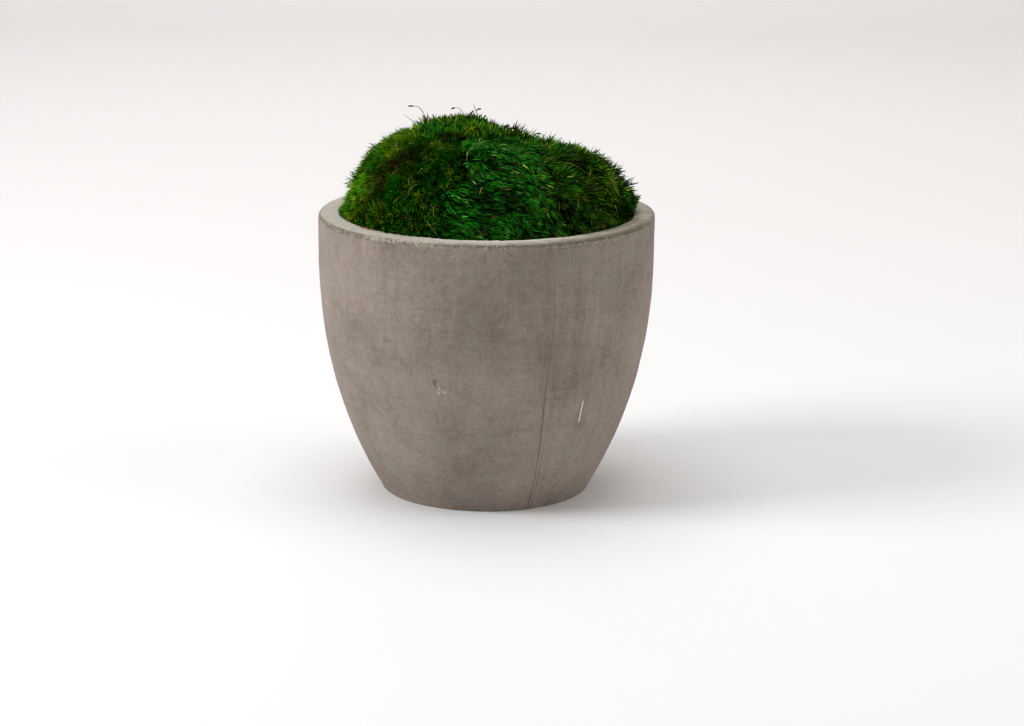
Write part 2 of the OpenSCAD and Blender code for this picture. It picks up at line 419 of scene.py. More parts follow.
# The seam's low fin, the faint swell beyond it and its groove, as (place to the right, half
# width, height).
SEAM_RIDGES = [(1.5, 1.0, 0.42), (5.0, 3.0, 0.18), (0.0, 0.55, -0.40)]
SEAM_END, SEAM_FADE = 12.0, 60.0             # below the rim, and the height it fades over

# How deep the casting's faults are, then how wide.
SWELL_DEEP, RIPPLE_DEEP = 0.22, 0.05
WORN_RIGHT, WORN_LEFT, WORN_WIDE = 0.1, 1.4, 3.4
CHIP_DEEP, EDGE_CHIP_WIDE, LIP_CHIP_WIDE = 0.8, 3.0, 2.2
STRUCK_DEEP, GRAIN_DEEP = 0.16, 0.05
POUR_LINE, POUR_DEEP, POUR_WIDE = 5.0, 0.30, 0.6
BROKEN_LIP, BROKEN_LIP_WIDE = math.radians(-130), 0.32   # where the lip lost most

print("The bowl is", round(2 * RIM_R), "mm across the rim and", round(BOWL_H), "mm high")

# %% Curves and waves


def unit(vectors):
    """The vectors at length 1."""
    return vectors / np.linalg.norm(vectors, axis=-1, keepdims=True)


def ramp(value, start, end):
    """0 at start, 1 at end, straight between them and level beyond. End may be the lower."""
    return np.clip((value - start) / (end - start), 0, 1)


def bell(distance, width):
    """A bell curve: 1 at distance 0, and about a third one width away."""
    return np.exp(-(distance / width) ** 2)


def towards(turn, rise=0.0):
    """For each direction in radians, a vector of length 1 that way, and so much up."""
    return np.stack([np.cos(turn), np.sin(turn), np.full(np.shape(turn), rise)], -1)


def at_height(plan, z):
    """Places in plan, each with its height."""
    return np.concatenate([plan, z[..., None]], -1)


def waves(places, length, seed, octaves=3, count=12):
    """Smooth noise about 0. Each octave adds cosines of the place along random directions,
    and is half as long and half as high as the one before."""
    rng = np.random.default_rng(seed)
    total, squares = 0.0, 0.0
    for octave in range(octaves):
        along = unit(rng.normal(size=(count, 3)))
        turns = rng.uniform(0.6, 1.4, count) * 2 * math.pi * 2 ** octave / length
        phase = rng.uniform(0, 2 * math.pi, count)
        total = total + np.cos(places @ (along * turns[:, None]).T + phase).sum(-1) / 2 ** octave
        squares += count / 2 / 4 ** octave
    return total / math.sqrt(squares) / 2


def wrapped(turn):
    """The same direction, from minus half a turn to half a turn."""
    return (turn + math.pi) % (2 * math.pi) - math.pi


print("One width away, a bell curve has come down to", round(float(bell(1, 1)), 2))

# %% The bowl's profile


def outside_r(z):
    """Radius of the bowl's outside at height z: a power curve, upright above BELLY_TOP."""
    return RIM_R - (RIM_R - FOOT_R) * np.clip(1 - z / BELLY_TOP, 0, None) ** FULLNESS


def level(start, end, height, steps):
    """Points of a level line, as (radius, height)."""
    return np.stack([np.linspace(start, end, steps), np.full(steps, height)], -1)


def arc(centre, radius, start, end, steps):
    """Points of an arc, as (radius, height), with angles in degrees."""
    turn = np.radians(np.linspace(start, end, steps))
    return np.stack([centre[0] + radius * np.cos(turn), centre[1] + radius * np.sin(turn)], -1)


def bowl_profile():
    """The closed outline of half a cut through the bowl, as (radius, height) in
    millimetres, anticlockwise from the underside of the drain hole. Its rows are closest
    together near the rim, where the casting is most broken up. A line stops up to a
    millimetre short of the arc that it leads to, so that no two points meet."""
    z_out = np.concatenate([np.linspace(FOOT_ROUND, BOWL_H - RIM_ZONE, 62)[1:],
                            np.linspace(BOWL_H - RIM_ZONE + ROW_GAP, BOWL_H - RIM_ROUND, 15)[:-1]])
    z_in = np.linspace(BOWL_H - LIP_ROUND - 1, FLOOR_Z + FILLET, 12)
    inner_foot = FOOT_R - FOOT_RING
    fillet_r = outside_r(FLOOR_Z + FILLET) - WALL - FILLET
    return np.concatenate([
        level(DRAIN_R, inner_foot - HOLLOW, HOLLOW, 4),
        level(inner_foot, FOOT_R - FOOT_ROUND - 0.5, 0, 4),
        arc((outside_r(FOOT_ROUND) - FOOT_ROUND, FOOT_ROUND), FOOT_ROUND, -90, 0, 6),
        np.stack([outside_r(z_out), z_out], -1),
        arc((RIM_R - RIM_ROUND, BOWL_H - RIM_ROUND), RIM_ROUND, 0, 90, 7),
        level(RIM_R - RIM_ROUND - 0.9, OPENING_R + LIP_ROUND + 0.7, BOWL_H, 12),
        arc((OPENING_R + LIP_ROUND, BOWL_H - LIP_ROUND), LIP_ROUND, 90, 180, 5),
        np.stack([outside_r(z_in) - WALL, z_in], -1),
        arc((fillet_r, FLOOR_Z + FILLET), FILLET, -20, -90, 5),
        level((DRAIN_R + inner_foot) / 2, DRAIN_R, FLOOR_Z, 2),
    ])


def azimuths():
    """Directions round the bowl, a fifth of a degree apart near a seam and wider elsewhere."""
    even = np.linspace(-math.pi, math.pi, COLUMNS, endpoint=False)
    beside = np.radians(np.linspace(*SEAM_SPAN, SEAM_COLUMNS))
    close = np.concatenate([wrapped(SEAM_AZIMUTH + side + beside) for side in (0, math.pi)])
    apart = np.abs(even[:, None] - close).min(1)
    return np.sort(np.concatenate([even[apart > math.radians(0.25)], close]))


print("The bowl's profile has", len(bowl_profile()), "points, carried to", len(azimuths()), "directions")

# %% The bowl as it came from the mould


def seam_relief(turn, radius, height, worn):
    """The fin and groove that the joint of the mould leaves, as bell curves of the distance
    to the right of the seam."""
    drift = SEAM_START
    for stray, low, high in SEAM_STRAYS:
        share = ramp(height, low, high)
        drift = drift + stray * share * share * (3 - 2 * share)
    total = 0.0
    for side in (0, math.pi):
        off = wrapped(turn - SEAM_AZIMUTH - side) * radius - drift
        for place, width, rise in SEAM_RIDGES:
            total = total + rise * bell(off - place, width)
    fade = ramp(height, BOWL_H - SEAM_END, BOWL_H - SEAM_END - SEAM_FADE) ** 0.5
    return total * fade * worn


def casting_faults(places, turn, radius, height, outside):
    """How far each point moves outwards, in millimetres: slow swells, the seams, edges worn
    and chipped, a rough struck top and the groove of the pour line."""
    swell = SWELL_DEEP * waves(places, 90, 1) + RIPPLE_DEEP * waves(places, 16, 2)
    seam = seam_relief(turn, radius, height, 0.65 + 0.35 * waves(places, 60, 3))

    # The rim's edges are worn round, most of all on the left, and have lost grains.
    edge_gap = np.hypot(radius - RIM_R, height - BOWL_H)
    lip_gap = np.hypot(radius - OPENING_R, height - BOWL_H)
    left = 0.5 - 0.5 * np.cos(turn)
    round_off = (WORN_RIGHT + (WORN_LEFT - WORN_RIGHT) * left) * bell(edge_gap, WORN_WIDE)
    broken = np.clip(waves(places, 9, 4, 4) - 0.2, 0, 1.2) + 0.22 * np.abs(waves(places, 3.6, 5, 2))
    lip_share = 0.7 + 1.3 * bell(turn - BROKEN_LIP, BROKEN_LIP_WIDE)
    chips = broken * (bell(edge_gap, EDGE_CHIP_WIDE) + lip_share * bell(lip_gap, LIP_CHIP_WIDE))
    struck = STRUCK_DEEP * waves(places, 22, 6, 3) + GRAIN_DEEP * waves(places, 4, 7, 2)

    # Where the last concrete met the mould's lip, a thin broken groove runs below the edge.
    above_line = height - (BOWL_H - POUR_LINE - 0.5 * waves(places, 60, 8) - 0.25 * waves(places, 12, 9))
    groove = POUR_DEEP * bell(above_line, POUR_WIDE) * np.clip(0.6 + waves(places, 20, 10), 0, 1.4)
    moved = swell * outside + seam * outside - CHIP_DEEP * chips - round_off - groove * outside
    return moved + struck * (height > BOWL_H - 0.5)


def bowl_shell():
    """The profile carried round, then moved along its own normals, in millimetres."""
    profile, turn = bowl_profile(), azimuths()
    ahead = np.roll(profile, -1, 0) - np.roll(profile, 1, 0)
    outwards = unit(np.stack([ahead[:, 1], -ahead[:, 0]], -1))
    radius, height = profile[:, :1], profile[:, 1:]
    around = towards(turn)
    up = np.array([0, 0, 1.0])
    places = radius[..., None] * around + height[..., None] * up
    outside = (outwards[:, :1] > 0.2) * (radius > FOOT_R - 4)
    normals = outwards[:, 0, None, None] * around + outwards[:, 1, None, None] * up
    places = places + casting_faults(places, turn, radius, height, outside)[..., None] * normals
    places[..., 2] = np.maximum(places[..., 2], 0)
    faces = grid_faces(len(profile), len(turn), True, True)
    print("The bowl has", 2 * len(faces), "triangles")
    return piece_of("concrete_bowl", places.reshape(-1, 3) * MM, faces)


bowl = bowl_shell()
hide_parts("bowl")
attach(bowl, "bowl")

# %% [markdown]
# ## Concrete
#
# Cast concrete is never one grey. Cement paste comes to the mould's face in clouds a hand
# wide, water marks run up and down, sand shows as a fine grain, and trapped air leaves
# pinholes, which get painted shade. The struck rim has more paste and is paler and a little
# greener, and its top is painted paler still with light from above. The seams, the rim's
# edge and the chips get painted shade, and the seams' fins a painted highlight. All of it
# reads the place on the bowl, in metres, so nothing slides when the bowl moves.

# %% Marks on the concrete

CONCRETE_DARK, CONCRETE_LIGHT = srgb(109, 96, 87), srgb(159, 145, 134)
CONCRETE_GREEN = srgb(134, 130, 118)
# The rim's top colour is its paste, made paler with painted light from above.
RIM_PASTE_AND_TOP_LIGHT, RIM_STAINED = srgb(184, 178, 166), srgb(140, 132, 114)
# The paste colour on the inner half in front also holds a painted highlight along the lip.
RIM_PASTE_AND_LIP_HIGHLIGHT, RIM_SCRATCHED, RIM_MOSSY = srgb(226, 219, 208), srgb(120, 110, 96), srgb(92, 86, 58)
EDGE_WORN, EDGE_FRESH, EDGE_DOTTED = srgb(106, 96, 80), srgb(206, 196, 182), srgb(98, 88, 72)
SHADOW_BROWN, PALE_GRAIN, SCRATCH_PALE = srgb(80, 70, 58), srgb(196, 186, 172), srgb(232, 224, 214)
# Where the face is chipped, as (degrees to the right of the front, height, radius): first the
# hollows, darkened with painted shade, then the pale fresh grains beside them.
HOLLOW_SPOTS = [(-17.0, 0.1303, 0.0017), (-16.9, 0.1280, 0.0013), (-16.5, 0.1249, 0.0010)]
PALE_SPOTS = [(-16.0, 0.1244, 0.0014), (-15.0, 0.1232, 0.0010), (-13.9, 0.1218, 0.0013),
              (-15.9, 0.1203, 0.0009)]
SCRATCH_TURN, SCRATCH_LOW, SCRATCH_HIGH, SCRATCH_FADE = math.radians(39.0), 0.0855, 0.1080, 0.002
SECOND_LINE = 0.0034                         # from a seam's groove to a fainter line beside it
SEAM_MARKS_END = (0.236, 0.246)              # the heights over which they fade below the rim
TOP_EDGE = (0.2525, 0.2540)                  # the heights over which the rim's top begins


def chipped(stone, spots, ragged):
    """Soft round spots on the bowl's outside, with edges that stray by ragged. Each is 1
    within two thirds of its radius and fades to 0 half as far outside it."""
    total = 0
    for degrees, z, size in spots:
        turn = math.radians(degrees)
        radius = float(outside_r(z / MM)) * MM
        spot = (radius * math.sin(turn), -radius * math.cos(turn), z)
        away = stone.node("ShaderNodeVectorMath", {"operation": "DISTANCE"},
                          {0: stone.place(), 1: spot}, "Value")
        total = (away + ragged).fall(size * 0.65, size * 1.5) + total
    return total.math("MINIMUM", 1.0)


print("The bowl has", len(HOLLOW_SPOTS), "hollows with", len(PALE_SPOTS), "pale grains beside them")

# %% Marks beside the seams


def seam_marks(stone, turn, radius, z):
    """Two colours of mark beside each seam, as strengths: the dark line in its groove,
    painted shade with some dirt in it, dotted above and solid below, and the pale band on its
    fin, a painted highlight on the side that faces the lamp. In every function of marks, turn
    is in radians to the right of the front, and lengths are in metres."""
    dots = stone.clouds(0.0022, 1.0).step(0.48, 0.60)
    solid = z.step(0.105, 0.150, 1.0, 0.12) * stone.clouds(0.012, 2.0).step(0.30, 0.55, 0.45, 1.0)
    drift = SEAM_START * MM
    for stray, low, high in SEAM_STRAYS:
        drift = z.step(low * MM, high * MM, 0.0, stray * MM) + drift
    second_low = z.fall(0.06, 0.085)
    dark = pale = 0
    for side in (0, math.pi):
        apart = (turn - (SEAM_AZIMUTH + math.pi / 2) + side).math("WRAP", math.pi, -math.pi)
        off = apart * radius - drift
        line = off.math("ABSOLUTE").fall(0.0002, 0.0011)
        second = (off - SECOND_LINE).math("ABSOLUTE").step(0.0002, 0.0012, 0.7, 0.0) * second_low
        # Painted shade with some dirt in the groove, and a fainter painted line beside it.
        dark = line * (solid * 0.75 + dots * 0.45) + second + dark
        # A painted highlight on the fin's side that faces the lamp.
        pale = off.band(0.0006, 0.0020, 0.0040, 0.0070) * solid + pale
    below_rim = z.fall(*SEAM_MARKS_END)
    return dark * below_rim, pale * below_rim


print("The seams' marks end", round(BOWL_H - SEAM_MARKS_END[1] / MM), "mm below the rim's top")

# %% Marks on the rim


def top_marks(stone, turn, radius, x, z):
    """What colours the struck top of the rim, as (strength, colour) pairs: its own paste, made
    paler with painted light from above, old stains, the paler inner half in front, which is
    paste and a painted highlight along the lip, scratches, moss stains at the lip and a worn
    edge."""
    top = z.step(*TOP_EDGE)
    flat = z.step(0.2540, 0.2553) * radius.step(0.1300, 0.1325) * radius.step(0.1490, 0.1512, 1.0, 0.25)
    blotches = stone.clouds(0.010, 4.0, roughness=0.65)
    stain = x.step(-0.02, 0.11) * turn.step(1.25, 1.55, 0.80, 0.35) + (blotches - 0.5) * 1.9
    # The inner half in front: paste, and a painted highlight along the lip.
    inner = radius.fall(0.1375, 0.1430) * turn.band(-0.55, -0.25, 0.45, 0.75)
    scratches = stone.clouds(0.0030, 3.0, stone.stretch(stone.place(), (0.35, 1.0, 1.0)))
    beside_moss = turn.step(0.55, 1.05) + turn.band(-0.90, -0.75, -0.55, -0.40)
    moss_stain = radius.fall(0.1345, 0.1440) * stone.clouds(0.007, 3.0).step(0.36, 0.60) * beside_moss
    worn_right = turn.step(0.25, 0.80, 0.16, 0.85) * turn.step(1.05, 1.40, 1.0, 0.1)
    worn = top * radius.step(0.1445, 0.1500) * (worn_right + turn.step(-0.35, -0.10) * 0.10)
    # The top's paste, paler with painted light from above, comes first; the inner half in front adds a
    # painted highlight along the lip.
    return [(flat * 0.90, RIM_PASTE_AND_TOP_LIGHT), (flat * stain.step(0.1, 1.0) * 0.85, RIM_STAINED),
            (flat * inner * 0.55, RIM_PASTE_AND_LIP_HIGHLIGHT), (flat * scratches.step(0.60, 0.72) * 0.5, RIM_SCRATCHED),
            (flat * moss_stain * 0.82, RIM_MOSSY), (worn, EDGE_WORN)]


def edge_marks(stone, turn, radius, x, z):
    """What colours the rim's edge, as (strength, colour) pairs. First comes the stained band,
    which goes under the top's marks. Then come painted shade in the broken groove of the pour
    line under the edge, painted shadows just under the edge and along its broken top, fresh
    breaks, pale grains and dark dots."""
    top = z.step(*TOP_EDGE)
    left = turn.fall(-0.80, 0.10)
    wander = z + (stone.clouds(0.014, 3.0) - 0.5) * 0.0036 - left * 0.0012
    band = wander.step(0.2500, 0.2518)
    # Painted shade in the broken groove of the pour line.
    line = wander.band(0.2488, 0.2500, 0.2504, 0.2518)
    line = line * stone.clouds(0.009, 3.0).step(0.42, 0.60) * x.step(-0.14, 0.02, 1.0, 0.45)
    # A painted shadow just under the rim's rounded edge.
    under_edge_shade = z.band(0.2515, 0.2528, 0.2538, 0.2550)
    under_edge_shade = under_edge_shade * stone.clouds(0.0045, 3.0).step(0.42, 0.58) * (left * 0.3 + 1)
    broken = stone.clouds(0.0032, 3.0).step(0.40, 0.58)
    # Painted shade along the broken outer edge of the top.
    edge = top * radius.step(0.1502, 0.1512) * broken * (1 - turn.band(-0.80, -0.65, -0.35, -0.20))
    fresh = z.step(0.2510, 0.2525) * radius.step(0.1490, 0.1508) * stone.clouds(0.0028, 3.0).step(0.44, 0.56)
    fresh = fresh * turn.step(-0.82, -0.68) * turn.fall(-0.38, -0.15)
    grains = stone.clouds(0.0017, 2.0).step(0.58, 0.68) * wander.step(0.2480, 0.2505)
    grains = grains * stone.clouds(0.012, 3.0).step(0.40, 0.56)
    grains = grains * z.fall(0.2548, 0.2556) * (1 - left * 0.7)
    dots = stone.clouds(0.0021, 2.0).step(0.54, 0.64)
    return [(band * 0.45, RIM_STAINED), (line * 0.60 * turn.step(0.2, 1.0, 1.0, 0.7), SHADOW_BROWN),
            (under_edge_shade * 0.45, SHADOW_BROWN), (edge * 0.45, SHADOW_BROWN), (fresh * 0.38, EDGE_FRESH),
            (grains * 0.70, PALE_GRAIN), (dots * band * 0.40, EDGE_DOTTED)]


print("The edge's marks start", round(BOWL_H - TOP_EDGE[0] / MM, 1), "mm below the rim's top")

# %% Concrete finish


def concrete_finish():
    """Clouds, water marks, sand and air holes over the bowl's grey, and its few marks."""
    stone = Finish("concrete", Roughness=0.85)
    place = stone.place()
    x, y, z = stone.split(place)
    turn = x.math("ARCTAN2", 0 - y)
    radius = (x * x + y * y) ** 0.5

    clouds = stone.clouds(0.080, 5.0, roughness=0.6)
    runs = stone.clouds(0.010, 3.0, stone.stretch(place, (1.0, 1.0, 0.09)))
    threads = stone.clouds(0.0035, 2.0, stone.stretch(place, (1.0, 1.0, 0.14)))
    rows = stone.clouds(0.0040, 3.0, stone.stretch(place, (0.12, 0.12, 1.0)))
    blots = stone.clouds(0.0055, 3.0)
    sand = stone.clouds(0.0022, 2.0, roughness=0.7)
    tone = (clouds - 0.5) * 0.95
    for noise, strength in ((runs, 0.24), (threads, 0.24), (rows, 0.26), (blots, 0.36), (sand, 0.56)):
        tone = tone + (noise - 0.5) * strength
    streaks = stone.clouds(0.013, 2.0, stone.stretch(place, (1.0, 1.0, 0.08))) - 0.5
    tone = tone + turn.band(0.36, 0.46, 0.70, 0.95) * streaks * 0.5
    colour = stone.blend((tone + 0.5).step(0.0, 1.0), CONCRETE_DARK, CONCRETE_LIGHT)
    green = stone.clouds(0.024, 4.0, roughness=0.6).step(0.48, 0.70) * 0.55
    colour = stone.blend(green, colour, CONCRETE_GREEN)

    # Pinholes: the bump sinks them and painted shade darkens them.
    pin = stone.cells(0.013).fall(0.030, 0.055) * stone.clouds(0.03, 1.0).step(0.54, 0.60)
    pale = stone.cells(0.006).fall(0.06, 0.14) * stone.clouds(0.04, 2.0).step(0.56, 0.64)
    ragged = (stone.clouds(0.0028, 2.0) - 0.5) * 0.003
    # The chips' hollows get painted shade; the pale fresh grains beside them are their own colour.
    hole = chipped(stone, HOLLOW_SPOTS, ragged)
    halo = chipped(stone, PALE_SPOTS, ragged * 1.3)
    off = (turn - SCRATCH_TURN).math("ABSOLUTE") * radius
    scratch = off.fall(0.0003, 0.0008) * z.step(SCRATCH_LOW, SCRATCH_LOW + SCRATCH_FADE)
    scratch = scratch * z.fall(SCRATCH_HIGH - SCRATCH_FADE, SCRATCH_HIGH)

    # The seams' painted shade with some dirt, and their painted highlight.
    seam_shade_and_dirt, seam_highlight = seam_marks(stone, turn, radius, z)
    first_mark, *later_marks = edge_marks(stone, turn, radius, x, z)
    marks = [(seam_highlight * 0.35, CONCRETE_LIGHT), (seam_shade_and_dirt * 0.55, SHADOW_BROWN),
             first_mark, *top_marks(stone, turn, radius, x, z), *later_marks,
             (pale * 0.40 + halo * 0.55, PALE_GRAIN), (pin * 0.55 + hole * 0.45, SHADOW_BROWN),
             (scratch * 0.95, SCRATCH_PALE)]
    for strength, mark in marks:
        colour = stone.blend(strength, colour, mark)
    height = 1 - pin - hole * 2 + (sand - 0.5) * 0.35 + (clouds - 0.5) * 0.3 + (rows - 0.5) * 0.15
    return stone.wear(Base_Color=colour, Normal=stone.relief(height, 0.0005),
                      Roughness=0.88 - (clouds - 0.5) * 0.2 - scratch * 0.2)


bowl.data.materials.append(concrete_finish())
print("The concrete has", len(bowl.data.materials[0].node_tree.nodes), "nodes")

# %% [markdown]
# ## What is out of sight
#
# The foam discs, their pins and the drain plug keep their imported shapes, and get finishes
# that look right when the planting is lifted out: pressed beads cut by a knife, drawn wire,
# and moulded rubber.

# %% Foam, wire and rubber


def foam_finish():
    """Beads about 3 mm wide, pressed together, each a slightly different tone."""
    foam = Finish("bead_foam", Roughness=0.75)
    wall = foam.cells(0.0032, 0.85, "DISTANCE_TO_EDGE")
    bead = foam.cells(0.0032, 0.85, output="Color")
    tone = foam.split(bead)[0] * 0.5 + foam.clouds(0.03, 3.0) * 0.5
    colour = foam.blend(tone, srgb(140, 164, 128), srgb(172, 190, 158))
    colour = foam.blend(wall.step(0.0, 0.09, 0.5, 0.0), colour, srgb(96, 116, 88))
    knife = foam.clouds(0.0008, 2.0, foam.stretch(foam.place(), (1.0, 1.0, 0.06)))
    height = wall.step(0.0, 0.2) * 0.7 + knife * 0.3
    return foam.wear(Base_Color=colour, Normal=foam.relief(height, 0.0006), Roughness=tone * 0.15 + 0.7)


def wire_finish():
    """Dull drawn wire with a bloom of rust."""
    wire = Finish("pin_wire", Metallic=1.0)
    rust = wire.clouds(0.006, 4.0).step(0.5, 0.7)
    colour = wire.blend(rust * 0.6, srgb(150, 150, 148), srgb(112, 74, 50))
    return wire.wear(Base_Color=colour, Roughness=rust * 0.35 + 0.38)


def rubber_finish():
    """Moulded rubber with a dusty bloom."""
    rubber = Finish("plug_rubber")
    bloom = rubber.clouds(0.008, 4.0)
    colour = rubber.blend(bloom.step(0.4, 0.75), srgb(34, 34, 35), srgb(66, 65, 63))
    return rubber.wear(Base_Color=colour, Roughness=bloom * 0.3 + 0.5,
                       Normal=rubber.relief(rubber.clouds(0.0009, 2.0), 0.0001))


HIDDEN_FINISHES = {"foam": foam_finish(), "pin_wire": wire_finish(), "rubber": rubber_finish()}
for part in frame["record"]["subparts"]:
    finish = HIDDEN_FINISHES.get(part["material_slot"])
    if finish:
        shown = bpy.data.objects[part["node"]]
        shown.data.materials.clear()
        shown.data.materials.append(finish)
print("Finished out of sight:", ", ".join(HIDDEN_FINISHES))

# %% [markdown]
# ## The shape of the moss
#
# The mound is a mosaic. Each cushion was lifted from its own tuft, pressed against its
# neighbours and pinned, so it has its own crown and turns down at its edges, and its leaves
# lean its own way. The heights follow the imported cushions: a full-shouldered dome with a
# crown left of the middle and a saddle to its right.

# %% Sizes of the moss, in millimetres

CUSHIONS = {
    "moss_crown": (-24, 22), "moss_left": (-106, -4), "moss_front_left": (-64, -78),
    "moss_front": (22, -76), "moss_front_right": (92, -54), "moss_right": (100, 28),
    "moss_back_right": (46, 98), "moss_back_left": (-48, 106),
}
CENTRES = np.array(list(CUSHIONS.values()), float)
MOSS_R = OPENING_R - 0.8
MOSS_TUCK = 7.0                              # how far the moss is tucked in below the rim
MOUND_H, MOUND_FULLNESS, MOUND_SHOULDER = 79.0, 3.4, 0.6
CROWN_RISE, CROWN_REACH = 8.0, 32.0
SADDLE, SADDLE_X, SADDLE_W = 0.2, 58.0, 54.0
CUSHION_EDGE, LEAF_EDGE = 7.0, 2.4           # how far a mat, and its leaves, turn down at the edge
JOINT = 0.6                                  # the gap between two cushions
LEAF_DEPTH, RIM_LEAF_DEPTH = 11.0, 4.5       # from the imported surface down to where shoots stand
SHELF_Z, DOME_R, DOME_H, DOME_GAP = BOWL_H - 32, 122.0, 70.0, 0.7
DOME_BALL = (DOME_R ** 2 + DOME_H ** 2) / (2 * DOME_H)   # the radius of the dome's sphere
print(len(CUSHIONS), "cushions fill a ring", round(MOSS_R), "mm in radius")

# %% The mound and its cushions


def shoulder(share):
    """The mound's profile: 1 at the middle, and 0 where share is 1, with full shoulders."""
    return (1 - share ** MOUND_FULLNESS) ** MOUND_SHOULDER


def mound_z(plan):
    """Height of the mound over a place in plan: a dome with full shoulders, a rise at the
    crown and a saddle beside it."""
    share = np.clip(np.linalg.norm(plan, axis=-1) / MOSS_R, 0, 1)
    dip = SADDLE * bell(plan[..., 0] - SADDLE_X, SADDLE_W)
    rise = CROWN_RISE * bell(np.linalg.norm(plan - CENTRES[0], axis=-1), CROWN_REACH)
    return BOWL_H - MOSS_TUCK + ((MOUND_H + MOSS_TUCK) * (1 - dip) + rise) * shoulder(share)


def bed_z(plan):
    """Height of what the moss lies on: the foam dome, or the shelf round it."""
    squared = (DOME_BALL + DOME_GAP) ** 2 - (plan ** 2).sum(-1)
    dome = SHELF_Z + DOME_H - DOME_BALL + np.sqrt(np.clip(squared, 0, None))
    return np.maximum(dome, SHELF_Z + 0.4)


def reach_of(centre, way):
    """How far the cushion at centre reaches in each direction: half way to a neighbour,
    measured along the line to it, or to the ring inside the bowl's wall."""
    along = (centre * way).sum(-1)
    best = -along + np.sqrt(along ** 2 + MOSS_R ** 2 - (centre ** 2).sum())
    for other in CENTRES:
        gap = np.linalg.norm(other - centre)
        if gap > 1:
            lean = way @ (other - centre) / gap
            half_way = (gap - JOINT) / 2 / np.maximum(lean, 0.05)
            best = np.where(lean > 0.05, np.minimum(best, half_way), best)
    return best


def cushion_z(centre, plan, edge=CUSHION_EDGE):
    """The mound's height less the rounding of this cushion's edge."""
    off = plan - centre
    away = np.linalg.norm(off, axis=-1)
    way = off / np.maximum(away, 0.01)[..., None]
    share = np.clip(away / reach_of(centre, way), 0, 1)
    return mound_z(plan) - edge * share ** 5


def outward_of(centre, plan, edge=CUSHION_EDGE):
    """The outward direction of a cushion's top, from its slope either way."""
    step = 0.5
    rise = [cushion_z(centre, plan + way, edge) - cushion_z(centre, plan - way, edge)
            for way in ([step, 0], [0, step])]
    return unit(np.stack([-rise[0], -rise[1], np.full(plan.shape[:-1], 2 * step)], -1))


def leaf_depth(places):
    """How far below the cushion's surface shoots stand, which is less beside the rim."""
    beside_rim = ramp(places[..., 2], BOWL_H + 16, BOWL_H - 6)
    return LEAF_DEPTH - (LEAF_DEPTH - RIM_LEAF_DEPTH) * beside_rim


print("The moss stands", round(float(mound_z(CENTRES[0]) - BOWL_H)), "mm above the rim")

# %% [markdown]
# ## Mats
#
# Under its leaves a cushion is a felt of old brown stems. A mat is drawn as rings of points
# from its middle to its edge and down its side. Little of it shows in the bowl, but when the
# planting is lifted out its side does, so noise that is stretched upright frays it.

# %% Mats under the leaves

MAT_SIDES, MAT_RINGS, SIDE_RINGS = 240, 10, 7
MAT_BELOW, MAT_THICK, MAT_GAP = 1.5, 2.0, 0.4   # under the shoots, at least, and to the next mat
FRAY_DEEP, FRAY_LONG, STRAND_LONG = 1.3, 4.5, 3.6
UPRIGHT_GRAIN = np.array([1, 1, 0.12])       # squeezes noise's places so that it runs upright


def strandy(places, length, seed):
    """Noise from 0 to 1 that barely changes up and down."""
    return np.clip(0.5 + 0.6 * waves(places * UPRIGHT_GRAIN, length, seed), 0, 1)


def cushion_body(centre):
    """The brown mat under the leaves, as points and triangles in millimetres. Rings spread
    from the middle to the cushion's edge, on top and again on the bed, and rings between
    them make the side, which is drawn in where it frays."""
    turn = np.linspace(0, 2 * math.pi, MAT_SIDES, endpoint=False)
    way = towards(turn)[:, :2]
    share = 1 - (1 - np.linspace(0.04, 1, MAT_RINGS)) ** 1.5
    plan = centre + share[:, None, None] * (way * (reach_of(centre, way) - MAT_GAP)[:, None])
    lower, upper = at_height(plan, bed_z(plan)), at_height(plan, cushion_z(centre, plan))
    upper -= outward_of(centre, plan) * (leaf_depth(upper) + MAT_BELOW)[..., None]
    upper[..., 2] = np.maximum(upper[..., 2], bed_z(upper[..., :2]) + MAT_THICK)
    down = np.linspace(0, 1, SIDE_RINGS + 2)[1:-1, None, None]
    side = upper[-1] + (lower[-1] - upper[-1]) * down
    side[..., :2] -= way * FRAY_DEEP * strandy(side, FRAY_LONG, 61)[..., None]
    points = np.concatenate([upper, side, lower[::-1]]).reshape(-1, 3)
    middle = np.array([[*centre, points[:MAT_SIDES, 2].max()], [*centre, points[-MAT_SIDES:, 2].max()]])
    return np.concatenate([points, middle]), closed_tube_faces(2 * MAT_RINGS + SIDE_RINGS, MAT_SIDES)


def mat_places(corner):
    """Where the mat's corners lie on the map of leaf colours: on top, between the leaves, nearly
    black with painted shade, and on the outer side brown strands that turn green at the top."""
    dark_tone = 0.16 + 0.02 * np.sin(corner[..., 0]) + 0.02 * np.cos(corner[..., 1])
    # Painted shade: the top sits near the root end of the map's way up.
    dark_up = 0.02 + 0.015 * np.sin(corner[..., 2])
    strand = strandy(corner, STRAND_LONG, 62)
    patch = np.clip(0.5 + 0.5 * waves(corner, 16, 63, 2), 0, 1)
    height = ramp(corner[..., 2], SHELF_Z, BOWL_H - 6)
    side_tone = 0.02 + 0.10 * strand * (0.4 + 0.6 * patch) + 0.12 * height ** 3
    side_up = 0.30 + 0.42 * strand * (0.5 + 0.5 * patch) - 0.12 * (1 - height) ** 2
    outer = ramp(np.linalg.norm(corner[..., :2], axis=-1), MOSS_R - 12, MOSS_R - 9)
    outer = outer * ramp(corner[..., 2], BOWL_H - 5, BOWL_H - 8)
    return np.stack([dark_tone + (side_tone - dark_tone) * outer,
                     dark_up + (side_up - dark_up) * outer], -1).reshape(-1, 2)


print("A mat has", MAT_SIDES * (2 * MAT_RINGS + SIDE_RINGS) + 2, "points")
